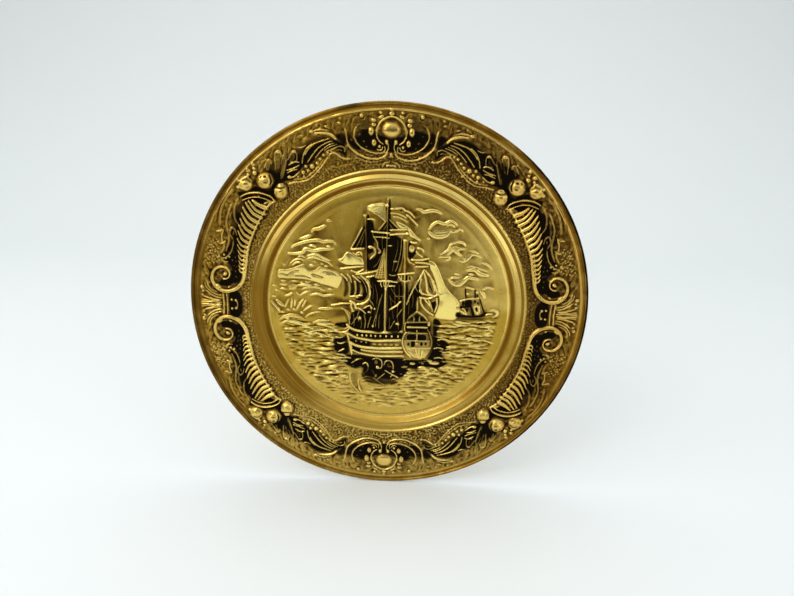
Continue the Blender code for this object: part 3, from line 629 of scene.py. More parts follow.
for outline, strength, edge in (
    ([(-28.4, -55.4), (-22.4, -59), (-23.4, -64.6), (-22.6, -70), (-26.4, -67.6), (-28.6, -62)], 0.35, 3.0),
    ([(-20, -56), (-8, -57), (8, -62), (6, -65), (-4, -66), (-16, -64)], 0.6, 2),
    ([(-18, -50), (-12, -52), (-9, -57), (-12, -60), (-18, -57)], 0.9, 1.4),
):
    well.shade(outline, strength, edge=edge)

# ---------------------------------------------------------------- the well: the galleon's hull
# The hull is bright wales running aft to a high decorated stern, with gun ports between them. It is pressed
# in the well of the same sheet, and black wax fills the strips between the wales.

for outline, strength in (
    ([(-30.4, -19), (-26, -21.8), (-12, -22.6), (0, -22.8), (11.4, -21.4), (11.4, -25.4), (0, -26),
      (-12, -26.2), (-21, -25), (-29, -22.4)], 1.0),
    ([(-28.6, -27), (-21, -28.8), (-13.8, -29.4), (-13.6, -32.6), (-21, -32), (-28.6, -29.4)], 1.0),
    ([(-27.6, -33.4), (-22, -35.4), (-19.8, -36.4), (-22, -38), (-27, -36)], 0.9),
):
    well.pocket(outline, strength=strength)
well.shade([(-14, -29.6), (10, -29), (10.6, -32.4), (-12, -33)], 0.3)
for wale, width, height in (
    ([(-32, -15.5), (-28, -18.5), (-22, -20.3), (-12, -20.8), (-2, -20.8), (11, -19.6)], 2.8, 1.6),
    ([(-31.5, -22.5), (-26, -25.5), (-20, -27), (-10, -28.3), (0, -27.8), (10.4, -27)], (1.8, 2.6), 1.4),
    ([(-29, -30.2), (-25, -32.6), (-18, -34), (-8, -34.5), (0, -34.3), (11.5, -33.5)], 2.7, 1.6),
    ([(-20.4, -36.2), (-12, -37.2), (0, -37.3), (12, -36.7)], 2.4, 0.9),
    ([(-27, -36.8), (-22, -39), (-14, -40.5), (-4, -41.2), (12.5, -40.4)], 1.8, 1.4),
):
    well.strand(wale, width, height, clean=1.0, ends=0.7)
for x in (-23.6, -19.8, -16.4, -12.9, -9.4, -5.4, -0.8, 3.6, 8.6):
    well.dome((x, -24.2 + 0.012 * abs(x + 8)), (0.9, 1.2), 1.0, clean=0.95)
for x in (-24.6, -20.4, -16.6):
    well.dome((x, -29.2 - 0.09 * (x + 24)), (1.0, 0.9), 0.7, clean=0.55)
for x in (-10, -5.6, -1.2, 3.4, 7.6):
    well.dome((x, -31), (1.5, 1.1), 0.6, clean=0.5)
for line, width, height, clean in (
    ([(-31.9, -22.6), (-30.5, -28), (-29.3, -34), (-28.2, -41)], 1.9, 1.3, 0.7),
    ([(-28.5, -31), (-28.5, -35.4), (-27.8, -40)], 1.8, 1.2, 0.8),
    ([(-39.5, -21.7), (-34, -21.8), (-31, -19.8), (-29.5, -16.6)], 1.6, 0.9, 0.8),
    ([(-34, -19.4), (-31.4, -17.6), (-30.2, -14.6)], 1.3, 0.9, 0.7),
):
    well.strand(line, width, height, clean=clean)
well.dome((-32.6, -22.6), (1.6, 1.1), 0.9, clean=0.8)

# ---------------------------------------------------------------- the well: the stern castle
# A shell-topped gallery stands over two big dark windows and a carved band, closed below by the keel. It is
# a low pad of the same sheet, its windows sunk and filled with wax.

well.pad([(15.4, -19.8), (13, -23), (12.2, -28), (13.6, -33), (16.4, -38.4), (22, -41.6), (28, -42),
          (32, -39.4), (34.4, -34), (35, -28), (34.4, -23), (31.6, -18), (31, -9.8), (27, -5.4),
          (22.8, -3.2), (18.4, -5.6), (15.2, -10), (15, -16)], 0.5, clean=0.6)
for window in (
    [(16.3, -22.2), (22.3, -22.2), (22.3, -26.1), (16.3, -26.1)],
    [(24.6, -22.2), (30, -22.2), (30, -26.1), (24.6, -26.1)],
    [(19.2, -27.8), (21.8, -27.8), (21.8, -31.8), (19.2, -31.8)],
    [(15.6, -12.9), (30.8, -12.5), (30.8, -14), (15.6, -14.4)],
    [(15.8, -17), (31.6, -17), (31.6, -18.6), (15.8, -18.6)],
):
    well.pocket(window, edge=0.7, depth=0.7)
for centre, radii in (
    ((18.8, -8.2), (1.1, 1.1)), ((22.8, -7.2), (1.8, 2.3)), ((26.8, -8.2), (1.1, 1.1)),
    ((29.3, -9.2), (0.9, 0.9)), ((16.6, -9.6), (0.8, 0.8)), ((17, -30), (1.1, 1.1)),
    ((27.2, -29.4), (1.0, 1.3)), ((30.6, -29.2), (0.8, 1.1)),
):
    oval = [(centre[0] + radii[0] * cos(a),
             centre[1] + radii[1] * sin(a)) for a in np.arange(0, 2 * pi, pi / 3)]
    well.pocket(oval, edge=0.7, depth=0.6)
for outline, strength in (
    ([(16.2, -10.4), (19, -6.4), (22.8, -3.8), (27, -6), (30.8, -10.2)], 0.8),
    ([(15.4, -11.4), (32, -11.2), (32.4, -20.4), (15, -20.4)], 0.9),
    ([(13.6, -20.6), (33.4, -20.6), (34.4, -27), (12.8, -27)], 0.6),
    ([(14, -27.4), (34, -27.4), (33.6, -32.4), (15, -32.6)], 0.35),
    ([(32.6, -18), (36, -23), (36.6, -30), (34.6, -36), (31.4, -41), (33, -34), (33.4, -26)], 0.6),
):
    well.shade(outline, strength, edge=1.4)
for line, width, clean in (
    ([(15.2, -10), (17, -7), (20, -4.3), (22.7, -2.8), (25.4, -4), (28.5, -6.4), (31, -9.6)], 1.3, 0.65),
    ([(15.4, -11.8), (22, -11.2), (33, -11)], 1.2, 0.6),
    ([(15.4, -15.7), (23, -15.5), (31.4, -15.4)], 1.4, 1.0),
    ([(15.6, -20.2), (23, -20.3), (31.8, -20.2)], 1.2, 0.7),
    ([(23.3, -18), (23.4, -22.4), (23.3, -27)], 1.4, 0.6),
    ([(15, -20), (12.9, -23), (12, -28), (13.2, -33), (15.5, -37.4), (19, -41)], 1.6, 0.7),
    ([(31.6, -17), (33.6, -21), (35.1, -26), (35, -31), (33, -36.5), (30, -41)], 1.3, 0.35),
    ([(14, -27), (20, -26.9), (27, -26.8), (33.6, -26.6)], 1.1, 0.7),
    ([(18.4, -33.2), (25, -33), (34, -32.6)], 1.5, 0.8), ([(23, -34), (24, -38), (25.3, -42.3)], 0.9, 0.8),
    ([(25.3, -34), (25.6, -38), (26, -42)], 0.9, 0.8), ([(28.4, -34.4), (27.8, -38), (27, -42)], 1.0, 0.9),
    ([(16.6, -35.4), (20.4, -37.8), (23, -38)], 1.0, 0.7),
    ([(20.6, -7), (20.8, -9), (20.4, -10.6)], 0.9, 0.6), ([(25, -7), (24.8, -9), (25.2, -10.6)], 0.9, 0.6),
):
    well.strand(line, width, 1.25, clean=clean, ends=0.75)
well.dome((32.4, -12.8), (1.3, 1.8), 1.3)
well.dome((23.5, -28.9), 1.4, 1.0)
well.dome((23.5, -28.9), 0.6, 0.5, level=0.7)

# ---------------------------------------------------------------- the well: masts and the black behind them
# Three masts with their knobs stand over the hull, pressed in the same sheet. The deep ground between sails
# and shrouds keeps its wax, so they show dull against black.

for outline, strength, edge in (
    ([(-20.2, 62.4), (-28.2, 47.2), (-24, 46.6), (-18.4, 46.6), (-18.2, 60)], 0.78, 1.2),
    ([(-17, 66.6), (-12.6, 66.4), (-11.6, 61), (-9.6, 57), (-11.6, 50), (-12, 47.8), (-16.8, 47.4)], 0.85,
     1.4),
    ([(-8.6, 60.2), (-5, 65), (-1.8, 69.6), (-0.6, 69.4), (3, 65.4), (6.8, 61.8), (2, 60.8), (-3, 59.6)],
     0.7, 1.0),
):
    well.shade(outline, strength, edge=edge)
for outline, strength, edge in (
    ([(-10.4, 58), (-3.2, 57.8), (-3, 48), (-4.2, 44), (-7.4, 33), (-11, 29.4), (-16.4, 30), (-16.4, 38),
      (-12.6, 38.2), (-9.4, 41.6), (-8.4, 46.6), (-9.6, 53)], 1.0, 1.4),
    ([(-16.2, 42.6), (-13.4, 42.4), (-12.3, 44.6), (-14, 46.4), (-16.2, 45.8)], 1.0, 0.8),
    ([(-13.6, 24.4), (-9, 22.6), (-4, 20), (-3.4, 16), (-3.4, -2), (-3.4, -19.6), (-14, -19.8),
      (-25, -18.6), (-29.8, -15.4), (-29.8, -10), (-26, -4), (-20, -3.6), (-14.6, 3), (-13, 10),
      (-13.6, 18)], 1.0, 1.4),
    ([(-20.8, 22.4), (-17.2, 18.6), (-16, 12), (-17.4, 6.8), (-21, 4.4), (-25.6, 5.4), (-22, 7),
      (-19.6, 9.8), (-19.2, 14.4), (-20.6, 18), (-23, 20.6)], 1.0, 1.0),
    ([(0, 54.4), (8.6, 54.6), (10.2, 50), (10.2, 38), (7, 29), (6.6, 22.4), (0, 22.4)], 1.0, 1.4),
    ([(0, 20), (6.4, 19.6), (9, 21), (10.8, 16), (10.8, 4), (10.8, -18.6), (0, -19.8), (0, -4)], 1.0, 1.4),
    ([(14, 20), (16, 13), (18.6, 17), (23, 25), (24, 18), (24.4, 10), (21.4, 5), (21.6, -2.6), (17, -6.8),
      (14.2, -11), (13.8, 4)], 1.0, 1.4),
    ([(14.6, 53), (14.6, 40), (17, 39.4), (19.4, 42), (20, 46), (16, 51)], 0.75, 1.4),
    ([(12, 22), (15.6, 21.6), (16.6, 24.6), (12, 26.4)], 0.7, 0.8),
):
    well.pocket(outline, strength=strength, edge=edge)
for stripe in (
    [(-0.9, 82), (0.4, 81.6), (0.2, 60), (-0.6, 41), (-1.2, 41), (-0.8, 60)],
    [(-16.9, 71), (-15.4, 70.6), (-15.8, 58), (-16.6, 30), (-17.2, 30), (-16.8, 58)],
):
    well.pocket(stripe, edge=0.9)
for fold in (
    [(-33.4, 23.4), (-32.4, 15), (-33.4, 8)], [(-28.6, 22.6), (-27.4, 15), (-28, 8.6)],
    [(-23.6, 20.8), (-22.8, 15), (-23.6, 9.4)],
):
    path = [(x - 1.3, y) for x, y in fold] + [(x + 1.1, y) for x, y in fold[::-1]]
    well.shade(path, 0.62, edge=1.6)

for line, width, height, clean, ends in (
    ([(-1.7, 84), (-1.9, 72), (-1.7, 60), (-2, 40), (-2.1, 17)], (0.9, 2.0), 1.4, 0.28, 0.9),
    ([(-2.1, 17), (-2.3, 0), (-2, -19.5)], 2.3, 1.3, 0.55, 0.9),
    ([(-18.3, 70.6), (-17.6, 55), (-17.2, 40), (-17, 28.5)], (1.0, 1.5), 1.4, 0.16, 0.9),
    ([(11.4, 52.6), (12, 35), (12.2, 27)], 1.4, 1.0, 0.15, 0.8),
    ([(12.4, 27), (12.7, 8), (12.8, -13)], 1.9, 1.4, 0.4, 0.8),
):
    well.strand(line, width, height, clean=clean, ends=ends)
for centre, radii, height in (
    ((-2.2, 79.2), (1.6, 1.1), 1.5), ((-18.8, 71.3), (1.4, 1.1), 1.6), ((-2, 14.9), (1.5, 1.3), 1.9),
    ((11.8, 53.2), (1.7, 1.0), 1.4),
):
    well.dome(centre, radii, height)
well.strand([(6.6, 26.6), (12.6, 27.4), (19.4, 28.4)], 1.5, 1.5)
well.strand([(7.6, 25.4), (9.6, 22.4), (12.4, 21.3), (16.2, 22.4)], 1.3, 1.2, clean=0.9)
for x in (9.6, 12.2, 14.8):
    well.strand([(x, 26), (x + 0.2, 24), (x + 0.1, 22.4)], 0.9, 1.0, clean=0.7)

# ---------------------------------------------------------------- the well: yards, sails and rigging
# Every yard, furled sail and rope is a raised line of the same sheet, and the full sails and flags are low
# polished pads. Wiping left the yards bright and the ropes dull.

for sail, height, clean in (
    ([(-39.4, 36.8), (-36, 38.6), (-34, 41.4), (-32, 43.4), (-29, 43), (-24, 40.4), (-20, 38.4),
      (-18.8, 33.4), (-24, 32.8), (-30, 32.4), (-35, 33.6)], 0.8, 1.0),
    ([(-17, 78.4), (-13, 80.4), (-8, 81.4), (-3.4, 80.6), (-2.6, 74), (-3, 66.4), (-5.6, 68.4), (-9, 71.6),
      (-12.4, 73.4), (-16.4, 75)], 0.5, 0.9),
    ([(4.4, 67.4), (9, 66.6), (14, 63.8), (17, 61), (20, 57.6), (23.6, 54.6), (23, 52.8), (19, 54.6),
      (15, 56.6), (13, 61.4), (7.4, 62.4)], 0.7, 0.95),
    ([(30, 38.6), (34, 38), (37, 34.6), (40, 28), (43.6, 20), (48, 14), (54, 8), (56.4, 2), (55, -5),
      (52, -8.6), (44, -8.6), (38, -7.6), (36.6, -5.4), (38.4, 2), (39.4, 8), (38, 12), (36.4, 20),
      (33.6, 28), (31, 33)], 0.6, 1.0),
):
    well.pad(sail, height, edge=1.2, clean=clean)
for line, width, clean in (
    # fore mast
    ([(-28.8, 46.2), (-24.6, 54), (-20.4, 62.2)], 1.1, 0.9),
    ([(-18.6, 61), (-21.4, 54), (-25, 46.6)], 0.9, 0.35), ([(-18.4, 60), (-20, 53), (-22, 46.6)], 0.8, 0.3),
    ([(-28.8, 45.3), (-24, 45.7), (-19, 46.3)], 1.9, 1.0),
    ([(-20.6, 41), (-22, 43.2), (-24.4, 42.4), (-24.6, 40.6)], 1.1, 1.0),
    ([(-27.4, 42.6), (-24.6, 41), (-22, 41.6)], 0.9, 0.8),
    ([(-16.8, 68.3), (-14, 68.7), (-11.4, 68.2)], 1.2, 1.0),
    ([(-16.3, 46.8), (-14, 47.7), (-11.8, 46.8), (-10.5, 44.3), (-11.3, 41.5), (-13.5, 39), (-14.6, 37.8)],
     1.4, 0.85),
    ([(-16, 47.6), (-14, 48), (-12.2, 47.4)], 1.2, 1.0),
    ([(-11, 54), (-9, 51), (-8.5, 47), (-7.2, 45), (-8.4, 42.6)], 1.1, 0.6),
    ([(-7.4, 45.6), (-6.6, 44.4), (-7.4, 42.6)], 1.4, 0.7),
    ([(-13, 60.4), (-12.4, 57), (-10.4, 53)], 0.9, 0.3),
    ([(-36.8, 29.8), (-28, 31.2), (-19.6, 32.3)], 1.8, 1.0),
    ([(-28.7, 28.6), (-24, 27.2), (-19.3, 29.9)], 1.4, 1.0),
    ([(-25, 25.8), (-17, 27), (-9.4, 28.9)], 1.7, 1.0), ([(-17, 23.8), (-14, 24.2), (-11, 25)], 1.4, 1.0),
    ([(-21.4, 25), (-17.5, 21), (-14.8, 16), (-14, 11), (-15, 6.5), (-17.5, 3.5), (-21.8, 1.7)], 1.7, 0.95),
    ([(-18, 23), (-15, 19.5), (-12.8, 15)], 1.0, 0.45),
    ([(-24, 24), (-20, 21), (-17.4, 16), (-16.6, 11.4)], 0.9, 0.5),
    ([(-36.4, 25.6), (-33, 22.6), (-31.6, 20.4)], 1.3, 0.8),
    ([(-31.6, 25.4), (-29.6, 23), (-28.4, 19)], 1.2, 0.6),
    ([(-27.4, 24.4), (-24, 21.6), (-21.4, 19.6)], 1.6, 0.8),
    ([(-30.4, 20), (-29.8, 14), (-30.4, 8.4)], 1.3, 0.3),
    ([(-25.6, 20), (-25.2, 14), (-25.8, 9)], 1.6, 0.5),
    ([(-21.4, 17.4), (-20.9, 13), (-21.6, 9.6)], 1.0, 0.35),
    ([(-44.2, 0.2), (-36, 1.8), (-28.6, 2.2)], 1.5, 1.0), ([(-30, 8), (-26, 8), (-21.6, 9.2)], 1.3, 0.9),
    ([(-29.4, 4), (-26, 2), (-25, -2)], 2.2, 0.9), ([(-27.4, 3.2), (-28.8, 0.4), (-27.4, -3.6)], 1.4, 0.85),
    ([(-24.5, -1.2), (-20.5, -2.8), (-17.2, -5.7)], 1.5, 0.85),
    ([(-25, 1.4), (-22, 1.9), (-19.4, 1.6)], 1.4, 1.0),
    ([(-18.7, -1.5), (-14.2, 1), (-12.7, -1)], 1.1, 0.9),
    ([(-36, -2), (-33, -4), (-30.5, -9), (-29.6, -15)], 1.5, 0.6),
    ([(-33, -3), (-30, -6), (-29, -11)], 0.9, 0.4),
    ([(-23.5, -8), (-26, -11.6), (-28.5, -15.5)], 1.2, 0.45),
    ([(-22.4, -4), (-23.6, -8), (-22.4, -12.4)], 1.1, 0.4),
    ([(-14.4, 6), (-11.8, 2.4), (-11.2, 0)], 0.9, 0.45),
    # main mast
    ([(-13.6, 59.3), (-7, 58.7), (0, 58.5)], 1.7, 1.0), ([(-12.2, 55.3), (-6, 55.2), (0, 54.7)], 1.3, 0.8),
    ([(0, 60.8), (8, 61.3), (15, 62)], 1.5, 0.9), ([(0, 57), (7, 58), (13, 58.3)], 1.4, 1.0),
    ([(-1.6, 69.5), (-4.6, 65), (-8.2, 60.4)], 0.9, 0.6), ([(-0.6, 69), (3.4, 65), (7.2, 61.8)], 0.9, 0.6),
    ([(-1.8, 66), (-3.2, 63), (-4.6, 60.4)], 0.7, 0.3), ([(-0.6, 66), (1.4, 63), (3, 61.4)], 0.7, 0.3),
    ([(-3.6, 47), (-6, 38), (-8, 31), (-10, 23.2)], 0.9, 0.5),
    ([(-3.4, 46.8), (-3.2, 35), (-3.3, 23)], 0.8, 0.4), ([(-3.5, 46.8), (-4.6, 35), (-5.6, 23)], 0.7, 0.4),
    ([(-3.6, 46.8), (-5.4, 36), (-7.8, 23)], 0.7, 0.4),
    ([(-8.4, 20.8), (-4, 21.2), (0, 21.2), (6.6, 20.4)], 1.8, 1.0),
    ([(0.4, 17), (2.8, 17.5), (5.2, 17.4)], 1.4, 0.95), ([(0.2, 26.4), (3, 25.6), (6, 26.2)], 0.9, 0.6),
    ([(-6, 20.6), (-5.8, 18), (-4.8, 15.8)], 1.0, 0.9), ([(-3.9, 20.6), (-3.6, 18), (-2.6, 16)], 1.0, 0.9),
    ([(0.6, 20.8), (-0.2, 18), (-1.2, 16)], 1.0, 0.9),
    ([(-4.5, 11), (-6.8, 2), (-8.6, -6), (-9.5, -17)], 0.9, 0.4),
    ([(-6.2, 7), (-9, -2), (-10.4, -8)], 0.7, 0.25), ([(-13, -8), (-14.6, -13), (-15.5, -17.5)], 1.1, 0.45),
    ([(-9, -6), (-10.6, -12), (-11.5, -17.5)], 1.0, 0.45),
    ([(-18.4, -6), (-17.4, -12), (-18, -18.5)], 1.4, 0.4),
    ([(-6.4, -6), (-6.8, -12), (-6.8, -18)], 0.9, 0.3),
    ([(0, 76.5), (5, 76.9), (9, 77.3), (11.4, 75.6)], 1.5, 0.95),
    ([(12, 75.6), (15, 74.2), (18.2, 70.8)], 1.5, 0.85), ([(12.4, 72.6), (16, 69.7), (20.6, 65)], 1.5, 0.8),
    ([(0, 73.5), (6, 73), (12, 70.5)], 1.2, 0.6), ([(2.4, 71), (7, 70.4), (13, 67.4)], 1.1, 0.5),
    ([(-15.4, 77.4), (-11.4, 79.2), (-5, 79.6)], 1.6, 0.9),
    ([(-12.4, 73.6), (-8, 71.4), (-3.6, 67.6)], 1.0, 0.6),
    # mizzen mast
    ([(16, 52.3), (18, 51.7), (20.4, 51.9)], 1.8, 1.0), ([(21.4, 47.8), (24.5, 47), (26, 45.4)], 1.5, 0.9),
    ([(20.4, 45), (22.6, 42.6), (25.2, 41)], 1.4, 0.8), ([(17, 38.5), (24, 38.6), (30.4, 40)], 1.4, 0.95),
    ([(20, 36.6), (28, 36.2), (36.2, 34.4)], 1.5, 0.85), ([(20, 33.3), (25, 33.4), (30, 34)], 1.2, 0.8),
    ([(14.2, 40), (15.8, 36.6), (19.4, 35)], 1.0, 0.6),
    ([(9, 54), (8.8, 45), (6.5, 33), (5, 29)], 0.9, 0.4), ([(10.8, 53), (10.3, 40), (8, 30)], 0.9, 0.35),
    ([(6.4, 53.6), (6.2, 46), (4, 36), (2.8, 29)], 0.7, 0.25),
    ([(27, 31), (24.5, 25.5), (20, 17), (16.5, 9), (14.4, 2.7)], 1.5, 0.85),
    ([(28, 30.5), (33, 24), (36.5, 17), (38, 11)], 1.5, 0.85),
    ([(27, 29), (29, 22), (30, 15), (32, 12.3)], 1.3, 0.6), ([(31, 27.5), (34, 21), (36, 14.5)], 1.1, 0.6),
    ([(25, 24), (24, 18), (26, 13)], 1.5, 0.6), ([(22, 22.6), (21, 17), (23.6, 12.6)], 1.1, 0.4),
    ([(24, 15), (25.4, 12.9), (27.4, 11.7)], 2.3, 1.0), ([(29.4, 15), (31, 12.6), (34.6, 10.6)], 1.8, 0.9),
    ([(27, 12), (31, 11), (35, 10.8)], 1.5, 0.9), ([(24, 9), (31, 8.4), (38, 11.4), (42, 12)], 1.7, 0.9),
    ([(25, 9), (25.5, 5), (27.5, 1), (31, -2.5), (35.2, -5)], 2.0, 0.9),
    ([(28.5, 7.5), (32, 3), (35.5, -1)], 1.5, 0.8), ([(37.6, 9), (38, 3), (36.4, -2.6)], 1.3, 0.8),
    ([(31, 7.4), (33.4, 2.6), (34.6, -2)], 1.2, 0.7), ([(22.8, -2.5), (22.9, 3), (22.8, 9)], 1.1, 0.5),
    ([(9.9, 5.3), (7, 2), (4, 0), (1, -2)], 2.0, 0.85), ([(11, -1), (9.2, -4), (7.2, -7.2)], 1.1, 0.5),
    ([(5.6, -11), (3.6, -14.2), (2, -17.6)], 1.2, 0.4), ([(2, 16), (5, 11), (9.6, 7)], 0.8, 0.3),
    ([(1, 9), (4, 5), (8, 3)], 0.7, 0.25), ([(11.4, 9), (8, 9.6), (5, 8.6)], 0.9, 0.4),
    ([(14.4, -12), (13.4, -15.6), (14, -19)], 1.5, 0.7),
    # slack ropes and folds showing faintly in the black
    ([(-27, -6), (-26, -12), (-26.6, -17)], 1.3, 0.14),
    ([(-21, -10), (-20.4, -14), (-21, -18.6)], 1.2, 0.14),
    ([(-13.6, 4), (-12.6, -1), (-13.4, -6)], 1.2, 0.14), ([(4, 19.6), (5.4, 8), (4.6, -4)], 1.0, 0.08),
    ([(8.2, 18.6), (8.6, 9), (7.4, -2), (8, -10)], 1.1, 0.1),
    ([(-5, 56.6), (-5.4, 50), (-4.2, 44)], 1.0, 0.1), ([(15.2, 14), (16.4, 4), (16, -6)], 1.1, 0.1),
    ([(18.6, 14), (19.4, 6), (18.6, 0)], 1.1, 0.1), ([(-6, 41), (-8.6, 35), (-11.8, 31.4)], 1.2, 0.14),
    ([(-10.4, 18), (-8.4, 10), (-8.8, 2)], 1.2, 0.1), ([(-12.4, 20), (-11.4, 13), (-12, 6)], 1.0, 0.1),
    ([(1.2, 10), (3.4, -2), (4.6, -10)], 1.0, 0.08), ([(7, -6), (8.4, -12), (8.6, -18)], 1.2, 0.1),
    ([(1.2, -8), (1.6, -14), (1, -18.6)], 1.1, 0.08), ([(18.6, 16), (20.4, 20.4), (22.6, 23.4)], 1.1, 0.14),
):
    well.strand(line, width, 0.45 + 0.5 * width, clean=clean, ends=0.6)
for step in range(12):
    # ratlines between the main shrouds
    y = 24.4 + 1.9 * step
    well.strand([(-9.8 + 0.27 * (y - 23), y), (-6.4 + 0.12 * (y - 23), y - 0.2), (-3.2, y + 0.1)], 0.7,
                0.45, clean=0.45, ends=0.9)
for centre, radii, height in (
    ((-14.2, 46.6), (1.2, 0.8), 1.0), ((13.4, 58.5), (1.2, 1.0), 1.0), ((-27, 8.2), (1.0, 0.8), 0.9),
    ((-24, 7.4), (1.0, 0.8), 0.9), ((-21, 9), (1.4, 0.9), 1.0), ((-12.9, -0.8), (1.3, 1.2), 1.4),
    ((-10.4, -1.6), (1.0, 1.1), 1.3), ((-11.5, -16), (1.1, 1.3), 0.9), ((7.8, -13.4), (1.9, 1.2), 0.8),
    ((0.5, 48.8), (1.8, 0.7), 0.7), ((5, 36.8), (2.0, 0.6), 0.6), ((17, 47), (2.5, 3.2), 0.7),
    ((-29, 3.6), (1.2, 0.8), 1.1), ((-27.2, -4), (1.3, 1.0), 1.0), ((-14.6, -4.6), (1.4, 0.9), 0.7),
    ((-21.8, -9.6), (1.2, 1.6), 0.7),
):
    well.dome(centre, radii, height)
for outline, strength, edge in (
    ([(33.6, 5), (36.8, 6), (36.4, 1), (35.4, -2.4), (34.2, 1)], 0.85, 1.0),
    ([(30, 25), (32.6, 19), (34.8, 13.4), (33.4, 13.6), (30.8, 19)], 0.75, 1.2),
    ([(39.4, 7), (43, 6.6), (42.4, 3), (39.4, 2.8)], 0.45, 1.4),
    ([(7.4, 76.4), (9, 75.9), (8.8, 75), (7.4, 75.2)], 0.8, 0.8),
):
    well.shade(outline, strength, edge=edge)

# ---------------------------------------------------------------- the well: clouds and the sun
# Curling bands of cloud fill the sky at both sides, and the sun sets at the left in a fan of rays. They are
# low soft ridges and pads of the same sheet, rubbed less than the ship.

